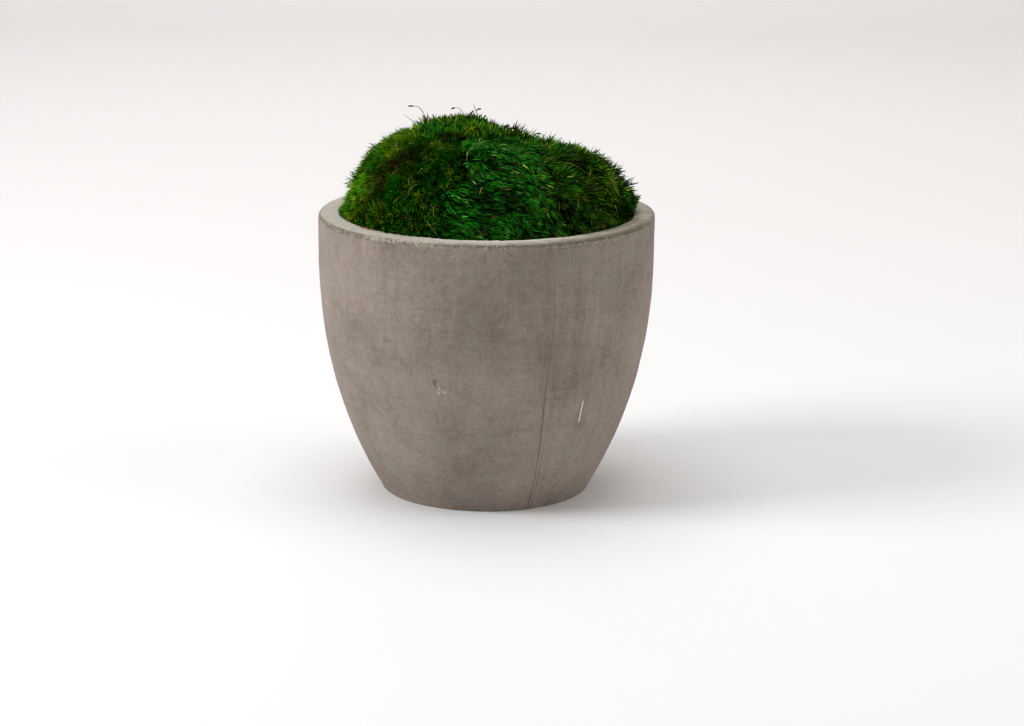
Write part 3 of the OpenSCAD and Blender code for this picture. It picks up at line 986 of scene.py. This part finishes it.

# %% [markdown]
# ## Leaves
#
# Up close the moss is tufts a little under a centimetre wide, each a fan of a dozen shoots,
# and each shoot a spray of narrow leaves that curve to one side, as if combed by wind. A
# leaf is a keeled sliver of six triangles: a root, three points part of the way along, and a
# tip. A tuft has its own height, heading and tone, and painted shade darkens its edge and its
# low leaves, so that dark gaps show between tufts.
#
# Each leaf takes its colour from its place on the map: across is its tone, from dead brown
# to fresh green and on to the pale and bluish tones of painted highlights, and up is painted
# shade, from its dark root to its bright tip.

# %% How the moss grows

# For each cushion: the way its leaves sweep, in degrees from +X, how hard, how long they
# are in millimetres, their mean tone, how much that varies, the share of tall tufts, how
# much higher than usual the shoots stand, the shares of leaves with a painted pale highlight
# and with a painted bluish highlight, how wide leaves are against the usual, how far a
# shoot's top leaves open in degrees, how much brighter than usual it all is, how much that
# varies from tuft to tuft and leaf to leaf, which from leaf to leaf is painted light on
# leaves that catch the lamp, how dark the painted shade on low leaves and at tufts' edges
# is, and how much the leaves curl over.
Habit = namedtuple("Habit", "sweep force length tone vary tall lift pale blue wide open glow fleck deep curl")
HABITS = {
    "moss_crown": (110, 0.35, 6.4, 0.45, 0.12, 0.02, 1.5, 0.04, 0.005, 1.0, 26, -0.04, 0.13, 0.72, 0.0),
    "moss_left": (195, 0.35, 6.4, 0.56, 0.08, 0.01, 1.6, 0.06, 0.005, 1.0, 28, 0.16, 0.12, 0.58, 0.0),
    "moss_front_left": (275, 0.55, 6.5, 0.43, 0.12, 0.02, 0.0, 0.012, 0.01, 1.0, 22, -0.17, 0.03, 0.38, 0.0),
    "moss_front": (-25, 1.5, 9.0, 0.35, 0.07, 0.02, 0.5, 0.02, 0.125, 1.3, 14, 0.16, 0.21, 0.8, 0.7),
    "moss_front_right": (-50, 0.9, 8.5, 0.4, 0.15, 0.03, 1.0, 0.03, 0.01, 1.0, 22, -0.28, 0.12, 0.58, 0.3),
    "moss_right": (30, 0.45, 7.5, 0.42, 0.14, 0.06, 1.6, 0.035, 0.005, 1.15, 38, -0.16, 0.14, 0.8, 0.2),
    "moss_back_right": (60, 0.8, 8.0, 0.44, 0.12, 0.05, 1.5, 0.03, 0.02, 1.0, 20, -0.04, 0.12, 0.7, 0.2),
    "moss_back_left": (130, 0.6, 7.0, 0.5, 0.1, 0.01, 2.0, 0.03, 0.02, 1.0, 22, -0.02, 0.1, 0.66, 0.0),
}

# Worn places where the moss is sunk and dead, and darkened with painted shade: their middle
# in plan and their reach, in millimetres, then how dead they are. Waves add more where the
# photograph doesn't show.
HOLLOWS = np.array([
    (-78, -55, 14, 1.0), (-93, -55, 15, 1.0), (-9, -119, 9, 0.1), (25, -111, 9, 0.1),
    (56, -90, 8, 0.4), (57, -62, 6, 0.3), (101, -62, 8, 0.8), (66, -104, 8, 0.5),
    (-22, -75, 6, 0.4), (10, -62, 5, 0.2), (46, -124, 9, 0.3), (70, -30, 8, 0.3)])
HOLLOW_SINK = 4.5
UNSEEN_FROM, UNSEEN_FULLY = 36, 66          # towards the back

# Places where the mound swells or sags, as (x, y, reach, rise).
SWELLS = np.array([
    (-128, 2, 13, -2.2), (-20, 22, 9, 2.8), (-52, 16, 12, -2.4), (-108, 15, 12, 2.4),
    (126, 8, 15, 3.2), (-76, 24, 26, 2.5), (10, 48, 26, 1.4), (106, 18, 14, -3.5),
    (66, 42, 5, -3.5), (77, 35, 7, 3.4), (-32, 29, 12, -2.0), (-128, 10, 14, -3.4),
    (124, -26, 16, -1.6)])

# Places where the moss is lighter or darker, partly in its own tone and partly by painted
# light and shade, such as the light painted on the front right where the moss faces away
# from the lamp, as (x, y, reach, brighter by, tone higher by).
PATCHES = np.array([
    (-104, -72, 24, 0.08, 0.03), (-118, -40, 22, 0.05, 0.0), (-92, -86, 20, 0.20, 0.06),
    (-64, -108, 20, 0.04, 0.0), (64, -101, 16, -0.13, 0.05), (52, -113, 12, -0.16, 0.08),
    (126, 0, 22, -0.06, -0.04), (12, -121, 30, -0.32, 0.0), (-34, -120, 16, -0.09, 0.0),
    (113, -46, 18, 0.46, 0.10), (-80, -60, 14, 0.20, 0.0), (-94, -56, 14, 0.20, 0.0)])

# Where the front cushion's tufts spill over its neighbour, as (x, y, reach), and how far.
SPILL = np.array([-36, -122, 16, 18, 0])

# Where lone tall tufts stand against the sky, in plan, and how near to one a tuft is tall.
TALL_SPOTS = np.array([(57, 46), (77, 35), (84, 30), (103, 18), (116, 9), (129, 2)])
TALL_NEAR = 4.5
print(len(HOLLOWS), "hollows,", len(SWELLS), "swells and", len(PATCHES), "patches of light")

# %% Tufts and shoots

GOLDEN_TURN = math.pi * (3 - math.sqrt(5))
TUFT_COUNT, TUFT_R, TUFT_DROP, TALL_RISE = 1150, 4.8, 4.4, 3.6
SHOOT_COUNT, SHOOT_TALL = 10500, 6.5
LEAVES_PER_SHOOT = 14
SPREAD_STEPS = (0.7548776662, 0.5698402910)  # shares that never bunch, in area and in turn


def scatter(count, start, stray, rng):
    """Places in plan that are spread evenly over the mound's surface. The share of its area
    inside a ring and the turn round it both step by a fixed irrational share. Each place then
    strays a little."""
    ring = np.linspace(0, MOSS_R - 0.4, 400)
    rise = BOWL_H - MOSS_TUCK + MOUND_H * shoulder(ring / MOSS_R)
    strip = np.hypot(np.diff(ring), np.diff(rise)) * (ring[1:] + ring[:-1]) * math.pi
    area = np.concatenate([[0], np.cumsum(strip)])
    index = start + np.arange(count)
    radius = np.interp(index * SPREAD_STEPS[0] % 1 * area[-1], area, ring)
    turn = index * SPREAD_STEPS[1] % 1 * 2 * math.pi
    plan = radius[:, None] * towards(turn)[:, :2]
    plan += rng.normal(0, stray, plan.shape) * (1 - (radius / MOSS_R) ** 6)[:, None]
    return at_height(plan, mound_z(plan))


def near_spots(places, table):
    """How near each place is to the spot in each row, in plan: a bell curve of their distance,
    as wide as the row's third value."""
    return bell(np.linalg.norm(places[:, None, :2] - table[:, :2], axis=-1), table[:, 2])


def nearest(places, centres):
    """The number of the nearest centre to each place, worked out a part at a time."""
    parts = np.array_split(places, 60)
    return np.concatenate([((part[:, None] - centres) ** 2).sum(-1).argmin(1) for part in parts])


Tuft = namedtuple("Tuft", "tall high heading force tone dead bright")


def tuft_habits(habit, tufts, rng):
    """How each tuft would grow in one cushion: its habit, changed by waves, by chance and by
    the places above."""
    count = len(tufts)
    spot_gap = np.linalg.norm(tufts[:, None, :2] - TALL_SPOTS, axis=-1).min(1)
    tall = (rng.random(count) < habit.tall) | (spot_gap < TALL_NEAR)
    within = near_spots(tufts, HOLLOWS)
    behind = ramp(tufts[:, 1], UNSEEN_FROM, UNSEEN_FULLY)
    sunk = np.clip(within.max(1) + np.clip(waves(tufts, 34, 26, 2) - 0.9, 0, 1) * behind, 0, 1)
    high = (habit.lift + near_spots(tufts, SWELLS) @ SWELLS[:, 3] + rng.normal(0, 0.9, count)
            + TALL_RISE * tall - HOLLOW_SINK * sunk)
    heading = (math.radians(habit.sweep) + 0.5 * waves(tufts, 70, 21, 2) + 0.4 * waves(tufts, 26, 22, 2)
               + rng.normal(0, 0.35, count))
    force = habit.force * rng.uniform(0.5, 1.3, count) * np.where(tall, 0.3, 1)
    patch = near_spots(tufts, PATCHES)
    tone = habit.tone + habit.vary * (0.7 * waves(tufts, 55, 24, 3) + rng.normal(0, 0.9, count))
    tone = tone + patch @ PATCHES[:, 4]
    dead = (waves(tufts, 38, 25, 2) + rng.normal(0, 0.3, count) - 1.3) * 2 * behind
    dead = np.clip(np.maximum(dead, (within * HOLLOWS[:, 3]).max(1)), 0, 0.9)
    bright = habit.glow + habit.fleck * np.clip(rng.normal(size=count), -1.4, None)
    # Sunk tufts are darkened with painted shade, dead ones are paler, and patches add light and shade, some
    # of it painted.
    bright = bright - 0.50 * sunk + 0.28 * dead + patch @ PATCHES[:, 3]
    return Tuft(tall, high, heading, force, tone, dead, bright)


def shoot_roots(centre, plan, high):
    """Where shoots stand, so much above the usual depth, and which way is up for them: square
    to the cushion, and nearer to upright beside the rim."""
    normal = outward_of(centre, plan, LEAF_EDGE)
    root = at_height(plan, cushion_z(centre, plan, LEAF_EDGE))
    root += normal * (high - leaf_depth(root))[:, None]
    low = ramp(root[:, 2:], BOWL_H + 12, BOWL_H - 8)
    return root, unit(normal + low * np.array([0, 0, 0.9]))


print(TUFT_COUNT, "tufts hold", SHOOT_COUNT, "shoots of", LEAVES_PER_SHOOT, "leaves")

# %% A leaf

LEAF_WIDE, LEAF_KEEL, LEAF_MIDDLE = (0.75, 1.30), 0.35, 0.42
LOW_OPEN = 58                                # degrees from the stem to the lowest leaves
MAP_HALF = 0.012                             # half a leaf's width on the map
LEAF_FACES = np.array([[1, 2, 4], [2, 3, 4], [3, 1, 4], [2, 1, 0], [3, 2, 0], [1, 3, 0]])
LEAF_ACROSS = np.array([0, MAP_HALF, 0, -MAP_HALF, 0])
LEAF_ALONG = np.array([0.04, 0.68, 0.68, 0.68, 1.0])
DEAD_TONES, LIVE_TONES = (0.03, 0.15), (0.18, 0.76)   # spans of the map
# Tones of painted highlights: warm pale glints, then bluish ones.
PALE_GLINT_TONES, BLUE_GLINT_TONES = (0.78, 0.86), (0.885, 0.95)
DEAD_SHARE, GLINT_SHARE = 0.012, 0.42        # of leaves that are dead anywhere, and that can glint


def keep_in_bowl(points):
    """Draws points in to stay off the bowl's wall and lip: a little inside the opening below
    the rim, and free to spread above it, in some places more than in others."""
    spread = 0.65 + 0.3 * waves(points, 30, 71, 2)
    room = OPENING_R - 0.5 + np.clip(points[..., 2] - BOWL_H - 1.0, 0, None) * spread
    radius = np.linalg.norm(points[..., :2], axis=-1)
    shrink = np.minimum(1, room / np.maximum(radius, 1))
    return at_height(points[..., :2] * shrink[..., None], points[..., 2])


def leaf_points(root, start, end, length, width):
    """The five points of each leaf. The middle ring stands part of the way along the first
    direction, and the tip lies from there along the second, so the leaf bends."""
    middle = root + start * (LEAF_MIDDLE * length)[:, None]
    tip = middle + end * ((1 - LEAF_MIDDLE) * length)[:, None]
    across = unit(np.cross(end - start * 0.999, start))
    keel = unit(np.cross(across, start)) * (LEAF_KEEL * width)[:, None]
    half = across * (width / 2)[:, None]
    return np.stack([root, middle + half, middle + keel, middle - half, tip], 1)


print("A leaf has", len(LEAF_FACES), "triangles and", len(LEAF_ALONG), "points")

# %% A shoot's leaves


def spray(habit, root, upright, sweep, pull, vigour, up, rng):
    """The leaves of each shoot, where up runs from 0 to 1 along its stem. The stem starts
    upright and bends along the sweep. Low leaves stand out from it all round, and the top
    ones close up into a claw."""
    bend = pull * up
    stem = unit(upright + sweep * bend * (0.9 - 0.5 * habit.curl))
    foot = root + (upright + sweep * bend * 0.45) * (SHOOT_TALL * vigour[..., None] * up)
    side_a = unit(np.cross(stem, np.array([0.31, 0.17, 0.93])))
    side_b = np.cross(stem, side_a)
    turn = np.arange(LEAVES_PER_SHOOT) * GOLDEN_TURN + rng.uniform(0, 2 * math.pi, (len(root), 1))
    spread = np.radians(LOW_OPEN + (habit.open - LOW_OPEN) * up + rng.normal(0, 6, up.shape))
    radial = np.cos(turn)[..., None] * side_a + np.sin(turn)[..., None] * side_b
    start = stem * np.cos(spread) + radial * np.sin(spread)
    end = start * (0.7 - 0.3 * habit.curl) + sweep * (0.3 + bend) * (0.8 + 0.4 * habit.curl)
    end = unit(end + stem * 0.3 - upright * bend * 0.45 * habit.curl)
    length = habit.length * vigour * rng.uniform(0.75, 1.15, turn.shape)
    width = habit.wide * rng.uniform(*LEAF_WIDE, turn.shape)
    return keep_in_bowl(leaf_points(foot.reshape(-1, 3), start.reshape(-1, 3), end.reshape(-1, 3),
                                    length.ravel(), width.ravel()))


def leaf_colours(habit, tuft, edge, up, rng):
    """Each leaf's tone and brightness. Most leaves share their tuft's tone. A few are dead,
    and a few shoots get painted pale or bluish highlights. Painted shade darkens low leaves
    and the edge of a tuft."""
    shoots, shape = (len(edge), 1), up.shape
    tone = (tuft.tone + habit.vary * rng.normal(0, 0.5, len(edge)))[:, None]
    tone = tone + habit.vary * rng.normal(0, 0.25, shape)
    brown = rng.random(shape) < np.clip(tuft.dead, DEAD_SHARE, 1)[:, None]
    tone = np.where(brown, rng.uniform(*DEAD_TONES, shape), np.clip(tone, *LIVE_TONES))
    # A few shoots get painted highlights, pale or bluish glints.
    glint = rng.random(shoots) * 0.7 + rng.random(shape) * 0.3
    blue_glint, pale_glint = rng.uniform(*BLUE_GLINT_TONES, shape), rng.uniform(*PALE_GLINT_TONES, shape)
    tone = np.where(glint < np.sqrt(habit.blue * GLINT_SHARE), blue_glint, tone)
    tone = np.where(glint > 1 - np.sqrt(habit.pale * GLINT_SHARE), pale_glint, tone)
    # Painted shade on low leaves and at the edge of a tuft.
    bright = 1 - habit.deep * (1 - up ** 1.5) - 0.54 * habit.deep * edge[:, None] ** 2
    bright = bright + tuft.bright[:, None]
    # Random brightness by shoot and by leaf; from leaf to leaf it is painted light on leaves that catch the
    # lamp.
    bright = bright + 0.12 + rng.normal(0, 0.10, shoots) + rng.normal(0, habit.fleck, shape)
    return tone, np.clip(bright, 0.12, 1)


print("A shoot is about", SHOOT_TALL, "mm tall")

# %% A cushion's leaves


def grow_leaves(name, shoots, tufts, tuft_of, rng):
    """The leaves of one cushion's shoots, as points, triangles and map places. Arrays have a
    row for each shoot, then a column for each of its leaves."""
    habit = Habit(*HABITS[name])
    tuft = Tuft(*(trait[tuft_of] for trait in tuft_habits(habit, tufts, rng)))
    off = (shoots - tufts[tuft_of]) / TUFT_R
    edge = np.clip(np.linalg.norm(off, axis=1), 0, 1.2)
    root, normal = shoot_roots(np.array(CUSHIONS[name], float), shoots[:, :2],
                               tuft.high - TUFT_DROP * edge ** 2)
    sweep = towards(tuft.heading)
    sweep = unit(sweep - (sweep * normal).sum(-1, keepdims=True) * normal)
    pull = tuft.force[:, None] * rng.uniform(0.7, 1.3, (len(shoots), 1))
    upright = unit(normal + off * 0.75 + rng.normal(0, 0.14, normal.shape))
    vigour = (1 + 0.12 * rng.normal(size=len(shoots)) + 0.25 * tuft.tall)[:, None]
    stray = rng.uniform(0, 1, (len(shoots), LEAVES_PER_SHOOT))
    up = (np.arange(LEAVES_PER_SHOOT) + stray) / LEAVES_PER_SHOOT
    points = spray(habit, root[:, None], upright[:, None], sweep[:, None], pull[:, None], vigour,
                   up[..., None], rng)
    tone, bright = leaf_colours(habit, tuft, edge, up, rng)

    faces = (np.arange(tone.size)[:, None, None] * 5 + LEAF_FACES).reshape(-1, 3)
    across = (tone.reshape(-1, 1) + LEAF_ACROSS)[:, LEAF_FACES]
    along = np.broadcast_to(LEAF_ALONG[LEAF_FACES], across.shape) * bright.reshape(-1, 1, 1)
    return points.reshape(-1, 3), faces, np.stack([across, along], -1).reshape(-1, 2)


print("The cushions will have", SHOOT_COUNT * LEAVES_PER_SHOOT, "leaves in all")

# %% [markdown]
# ## Moss finish
#
# One finish serves every cushion, because all that differs is on the map. Leaves are soft
# and a little waxy, so they get a faint sheen from the lamp; their brighter glints are
# painted highlights on the map.

# %% Moss finish

# Tones across the map, from dead brown through green; from 0.78 up they are painted highlights, warm pale
# glints and then bluish ones.
LEAF_TONES_AND_GLINTS = [(0.00, srgb(70, 36, 14)), (0.08, srgb(120, 84, 30)), (0.14, srgb(150, 126, 46)),
              (0.20, srgb(84, 108, 6)), (0.29, srgb(18, 132, 14)), (0.42, srgb(36, 152, 10)),
              (0.54, srgb(84, 168, 8)), (0.66, srgb(150, 196, 14)), (0.76, srgb(196, 218, 40)),
              (0.84, srgb(238, 240, 110)), (0.90, srgb(28, 162, 50)), (0.95, srgb(92, 206, 76)),
              (1.00, srgb(216, 250, 176))]


def moss_finish():
    """Tone across the map, and painted shade up it, from a dark root to a bright tip."""
    moss = Finish("moss", Roughness=0.5, Specular_IOR_Level=0.04)
    spot = moss.node("ShaderNodeUVMap", {"uv_map": "OFBake"}, {})
    across, up, _ = moss.split(spot)
    tone = moss.node("ShaderNodeValToRGB", {"stops": LEAF_TONES_AND_GLINTS}, {0: across})
    # Painted shade from the root to the tip.
    shade = moss.blend(up ** 2.2, srgb(34, 40, 26), srgb(255, 255, 255))
    colour = moss.blend(1.0, tone, shade, "MULTIPLY")
    return moss.wear(Base_Color=colour)


moss = moss_finish()
print("The map of leaf colours has", len(LEAF_TONES_AND_GLINTS), "stops")

# %% [markdown]
# ## Eight cushions
#
# Each tuft belongs to the nearest cushion, so the joints between cushions are ragged. A
# cushion's mat and leaves are one piece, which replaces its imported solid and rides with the
# planting.

# %% Cushions


def cushion_piece(name, shoots, tufts, tuft_of, rng):
    """One cushion: its mat below and its leaves above, in one mesh."""
    mat_points, mat_faces = cushion_body(np.array(CUSHIONS[name], float))
    points, faces, places = grow_leaves(name, shoots, tufts, tuft_of, rng)
    places = np.concatenate([mat_places(mat_points[mat_faces]), places])
    smooth = np.arange(len(mat_faces) + len(faces)) < len(mat_faces)
    piece = piece_of(name + "_leaves", np.concatenate([mat_points, points]) * MM,
                     np.concatenate([mat_faces, faces + len(mat_points)]), smooth, places)
    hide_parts(name)
    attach(piece, "planting")
    return piece, points[4::5]


leaf_tips = []
rng = np.random.default_rng(100)
all_tufts = scatter(TUFT_COUNT, 0.31, 1.2, rng)
all_shoots = scatter(SHOOT_COUNT, 0.5, 0.5, rng)
tuft_of = nearest(all_shoots, all_tufts)
strayed = all_tufts[:, :2] + np.stack([waves(all_tufts, 34, seed, 2) for seed in (31, 32)], -1) * 6
strayed += rng.normal(0, 2.0, strayed.shape)
strayed += near_spots(all_tufts, SPILL[None, :3]) * SPILL[3:]
cushion_of = nearest(strayed, CENTRES)[tuft_of]
for number, name in enumerate(CUSHIONS):
    mine = cushion_of == number
    piece, tips = cushion_piece(name, all_shoots[mine], all_tufts, tuft_of[mine], rng)
    leaf_tips.append(tips)
    piece.data.materials.append(moss)
    print(name, "has", len(piece.data.polygons), "triangles")

# %% [markdown]
# ## Stalks, straws and crumbs
#
# This moss carries its spores in dark capsules on thin bent stalks, a few of which stand
# against the sky. A mound planted by hand also keeps dry straws, dead leaves and flakes of
# bark, and leaves crumbs of peat on the rim. Each is a thin tube along a bent path, flattened
# where the real one is flat. The straws lie on the leaves and lift off with the planting,
# while the crumbs stay on the bowl.

# %% Where the litter lies

# A stalk's start, middle and end, its radius there, all in millimetres, and its tone.
STALKS = [
    ((-54.3, 8, 333), (-59.6, 5.3, 347.0), (-66.9, 2, 350.4), (0.42, 0.36, 0.32), 0.30),
    ((-66.3, 2.3, 350.4), (-68.8, 1, 350.9), (-71.4, -0.2, 350.8), (0.35, 0.95, 0.45), 0.04),
    ((-65, 9, 334), (-69.6, 6.3, 338.0), (-74.6, 4, 342.2), (0.32, 0.28, 0.22), 0.34),
    ((-22, 23, 340), (-24.9, 18.2, 345.9), (-30.0, 17, 347.0), (0.32, 0.28, 0.26), 0.36),
    ((-29.6, 17, 347.0), (-31.2, 16.4, 346.8), (-32.8, 16, 346.2), (0.40, 1.05, 0.45), 0.04),
    ((-19, 18, 337), (-16.0, 17.6, 341.0), (-12.8, 17, 344.6), (0.55, 0.85, 0.75), 0.02),
    ((-8.6, 20, 337), (-10.4, 19, 344.0), (-12.8, 18, 350.4), (0.45, 0.38, 0.22), 0.12),
    ((-10.4, 18.9, 344.2), (-8.4, 18.4, 345.8), (-6.0, 18, 346.2), (0.30, 0.85, 0.80), 0.04),
    ((-6.0, 18, 333), (-3.6, 18, 337.6), (-1.4, 18, 340.4), (0.25, 0.75, 0.80), 0.06),
    ((51.5, 26, 316), (50.6, 24.6, 321.6), (48.6, 23.8, 322.8), (0.32, 0.28, 0.30), 0.34),
    ((49.0, 24, 322.8), (46.8, 23, 323.4), (44.2, 22, 323.5), (0.40, 0.85, 0.45), 0.08),
    ((-36.6, 18, 332), (-35.0, 18, 337.8), (-33.8, 18, 342.2), (0.55, 0.42, 0.18), 0.10),
    ((-101, 1, 312), (-103.6, 0, 315.4), (-106.6, -2, 317.6), (0.70, 0.60, 0.15), 0.04),
    ((15, 24, 327), (17.2, 22, 330.0), (20.0, 21, 330.6), (0.60, 1.20, 0.40), 0.05),
    ((20, 24, 326), (23.0, 22, 328.4), (26.4, 21, 328.4), (0.60, 1.10, 0.40), 0.05),
]

# A straw's ends in plan, how far its middle bows up, its half width, and its tone.
STRAWS = [
    (-105, -76, -104, -82, 0.6, 0.50, 0.62), (-90, -94, -99, -87, 1.5, 0.45, 0.50),
    (-86, -96, -82, -99, 0.4, 0.90, 0.40), (-93, -85, -90, -87, 0.3, 0.80, 0.42),
    (-83, -77, -77, -74, 0.8, 0.40, 0.86), (-68, -89, -67, -95, 0.6, 0.70, 0.58),
    (-69, -98, -61, -96, 1.2, 0.40, 0.82), (-81, -95, -77, -95, 0.6, 0.60, 0.66),
    (-45, -116, -44, -120, 0.6, 0.75, 0.62), (-52, -118, -40, -126, 2.2, 0.42, 0.80),
    (-61, -114, -55, -121, 1.6, 0.32, 0.50), (62, -52, 92, -54, 2.5, 0.45, 0.72),
    (92, -46, 91, -57, 1.0, 0.42, 0.64), (64, -100, 64, -107, 1.0, 0.42, 0.52),
    (106, -67, 113, -59, 1.5, 0.55, 0.84), (100, -78, 103, -74, 0.6, 0.50, 0.82),
    (80, -88, 81, -94, 1.2, 0.45, 0.66), (99, -62, 106, -56, 0.5, 0.80, 0.38),
    (110, -58, 120, -44, 2.0, 0.35, 0.88), (-5, -38, -7, -52, 1.4, 0.55, 0.70),
    (-2, -50, -7, -62, 1.2, 0.50, 0.66), (-16, -70, -19, -84, 3.0, 0.42, 0.94),
    (-3, -112, -5, -116, 0.6, 0.80, 0.60), (-49, -52, -47, -58, 0.5, 0.60, 0.44),
    (-72, -68, -66, -74, 0.8, 0.45, 0.46), (30, -108, 38, -104, 0.8, 0.40, 0.50),
    (-60, 84, -46, 92, 2.0, 0.45, 0.70), (70, 88, 62, 100, 1.5, 0.45, 0.60),
    (-10, 96, 2, 88, 2.0, 0.40, 0.80), (96, 60, 104, 48, 1.5, 0.45, 0.56),
    (-104, 40, -96, 52, 1.5, 0.45, 0.66)]
STALK_THIN = 0.82          # how thick stalks are against the radii above
# Before it settles a straw starts so far above the moss, and its end is so much lower.
STRAW_ABOVE, STRAW_TUCK = 1.2, 1.5
STRAW_TAPER, STRAW_FLAT = [0.42, 0.58, 0.2], 0.45
STRAW_GAP = 0.5            # from a settled straw to the nearest leaf tip
SETTLE_REACH, SETTLE_STEPS = 16, 4

# Crumbs on the rim: the direction to the right of the front in degrees, the distance from
# the axis and the width, in millimetres.
CRUMBS = [
    (-57.4, 135.2, 2.2), (-55.2, 136.2, 1.8), (-53.2, 135.6, 3.6), (-51.4, 137.0, 2.4),
    (-49.8, 135.9, 4.2), (-48.2, 137.2, 2.6), (-46.6, 135.9, 3.4), (-44.6, 136.2, 2.4),
    (-38.3, 134.6, 1.8), (-36.0, 135.4, 1.3), (-33.4, 134.5, 1.6), (-31.6, 135.0, 2.0),
    (-30.2, 134.4, 1.2), (-23.4, 135.2, 1.8), (-22.5, 134.3, 1.2), (-89.7, 143.9, 1.0),
    (-72.4, 140.5, 1.2), (84.0, 137.0, 1.3), (79.0, 139.5, 1.0), (58.0, 135.4, 1.8),
    (53.0, 134.6, 1.4), (120.0, 136.0, 1.4), (168.0, 137.0, 1.2), (-140.0, 135.0, 1.6)]
CRUMB_FLAT = 0.6

LITTER_TONES = [(0.00, srgb(30, 20, 16)), (0.18, srgb(76, 46, 30)), (0.36, srgb(122, 62, 30)),
                (0.50, srgb(126, 96, 40)), (0.66, srgb(168, 144, 70)), (0.80, srgb(198, 190, 84)),
                (1.00, srgb(150, 196, 100))]
print(len(STALKS), "stalks and capsules,", len(STRAWS), "straws and", len(CRUMBS), "crumbs")

# %% Strands and their finish


def strands(ends, radii, tones, flat, rows=9, sides=6):
    """Closed tubes, each along the parabola through the three places in its row of ends, as
    thick as the parabola through three radii says. Gives points, triangles and map places as
    the leaves do."""
    along = np.linspace(0, 1, rows)
    weights = np.stack([(1 - along) * (1 - 2 * along), 4 * along * (1 - along), along * (2 * along - 1)], -1)
    path = np.einsum("rk,nkx->nrx", weights, ends)
    radius = (radii @ weights.T)[..., None, None]
    heading = unit(np.gradient(path, axis=1))
    side = unit(np.cross(heading, [0.25, 0.35, 0.9]))
    other = np.cross(side, heading) * flat
    turn = np.linspace(0, 2 * math.pi, sides, endpoint=False)[:, None]
    rings = path[:, :, None] + radius * (np.cos(turn) * side[:, :, None] + np.sin(turn) * other[:, :, None])
    points = np.concatenate([rings.reshape(len(path), -1, 3), path[:, :1], path[:, -1:]], 1)
    faces = closed_tube_faces(rows, sides)
    row = np.append(np.repeat(np.arange(rows), sides), [0, rows - 1])
    across = np.append(np.tile(np.cos(turn[:, 0]), rows), [0, 0]) * MAP_HALF
    spot = np.stack([np.broadcast_to(tones[:, None] + across, points.shape[:2]),
                     np.broadcast_to(row / (rows - 1), points.shape[:2])], -1)
    offset = np.arange(len(path))[:, None, None] * points.shape[1]
    return points.reshape(-1, 3), (faces + offset).reshape(-1, 3), spot[:, faces].reshape(-1, 2)


def litter_finish():
    """Tone across the map, a little paler towards one end."""
    litter = Finish("litter", Roughness=0.65, Specular_IOR_Level=0.08)
    across, up, _ = litter.split(litter.node("ShaderNodeUVMap", {"uv_map": "OFBake"}, {}))
    tone = litter.node("ShaderNodeValToRGB", {"stops": LITTER_TONES}, {0: across})
    return litter.wear(Base_Color=litter.blend(up * 0.35 + 0.65, srgb(60, 40, 24), tone))


litter = litter_finish()
print("The litter's tones have", len(LITTER_TONES), "stops")

# %% Litter on the moss and on the rim


def on_moss(plan, above):
    """A place so far above the moss's surface, measured square to it."""
    near = nearest(plan, CENTRES)
    out = np.stack([outward_of(CENTRES[n], spot) for n, spot in zip(near, plan)])
    return at_height(plan, mound_z(plan)) + out * above


def settle(straws, out, tips):
    """Lets straws down against out until the leaf tip nearest to any of five places along
    each is STRAW_GAP away. Each straw is its start, middle and end."""
    settled = straws.copy()
    for straw, way in zip(settled, out):
        near = tips[np.linalg.norm(tips - straw[1], axis=1) < SETTLE_REACH]
        for _ in range(SETTLE_STEPS):
            spots = np.concatenate([straw, (straw[1:] + straw[:-1]) / 2])
            gap = np.linalg.norm(near[:, None] - spots, axis=-1).min()
            straw -= way * max(gap - STRAW_GAP, 0)
    return settled


def litter_on_moss(tips):
    """Stalks and straws in one piece."""
    stalk_ends, stalk_radii, stalk_tones = zip(*((row[:3], row[3], row[4]) for row in STALKS))
    straw = np.array(STRAWS, float)
    start, end, bow, half_width, tone = np.split(straw, [2, 4, 5, 6], 1)
    out = on_moss(start, 1) - on_moss(start, 0)
    laid = np.stack([on_moss(start, STRAW_ABOVE), on_moss((start + end) / 2, 0) + out * (1 + bow),
                     on_moss(end, STRAW_ABOVE - STRAW_TUCK)], 1)
    ends = np.concatenate([np.array(stalk_ends, float), settle(laid, out, tips)])
    radii = np.concatenate([np.array(stalk_radii) * STALK_THIN, half_width * STRAW_TAPER])
    flat = np.repeat([1, STRAW_FLAT], [len(STALKS), len(STRAWS)])[:, None, None]
    tones = np.concatenate([stalk_tones, tone[:, 0]]).clip(0.02, 0.98)
    points, faces, places = strands(ends, radii, tones, flat)
    return piece_of("stalks_and_straws", points * MM, faces, True, places)


def crumbs_on_rim():
    """Short thick strands, turned and sized at random."""
    rng = np.random.default_rng(51)
    turn, away, wide = np.array(CRUMBS, float).T
    turn = np.radians(turn)
    middle = np.stack([away * np.sin(turn), -away * np.cos(turn), BOWL_H + 0.12 * wide], -1)
    lie = rng.uniform(0, math.pi, len(wide))
    half = towards(lie, 0.1) * (wide * 0.55)[:, None]
    radii = (wide * 0.32)[:, None] * np.array([0.35, 1.0, 0.3])
    tones = rng.uniform(0.20, 0.56, len(wide))
    points, faces, places = strands(np.stack([middle - half, middle, middle + half], 1), radii, tones,
                                    CRUMB_FLAT, 5)
    return piece_of("rim_crumbs", points * MM, faces, False, places)


on_planting, on_bowl = litter_on_moss(np.concatenate(leaf_tips)), crumbs_on_rim()
for piece, body in ((on_planting, "planting"), (on_bowl, "bowl")):
    piece.data.materials.append(litter)
    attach(piece, body)
    print(piece.name, "has", len(piece.data.polygons), "triangles")
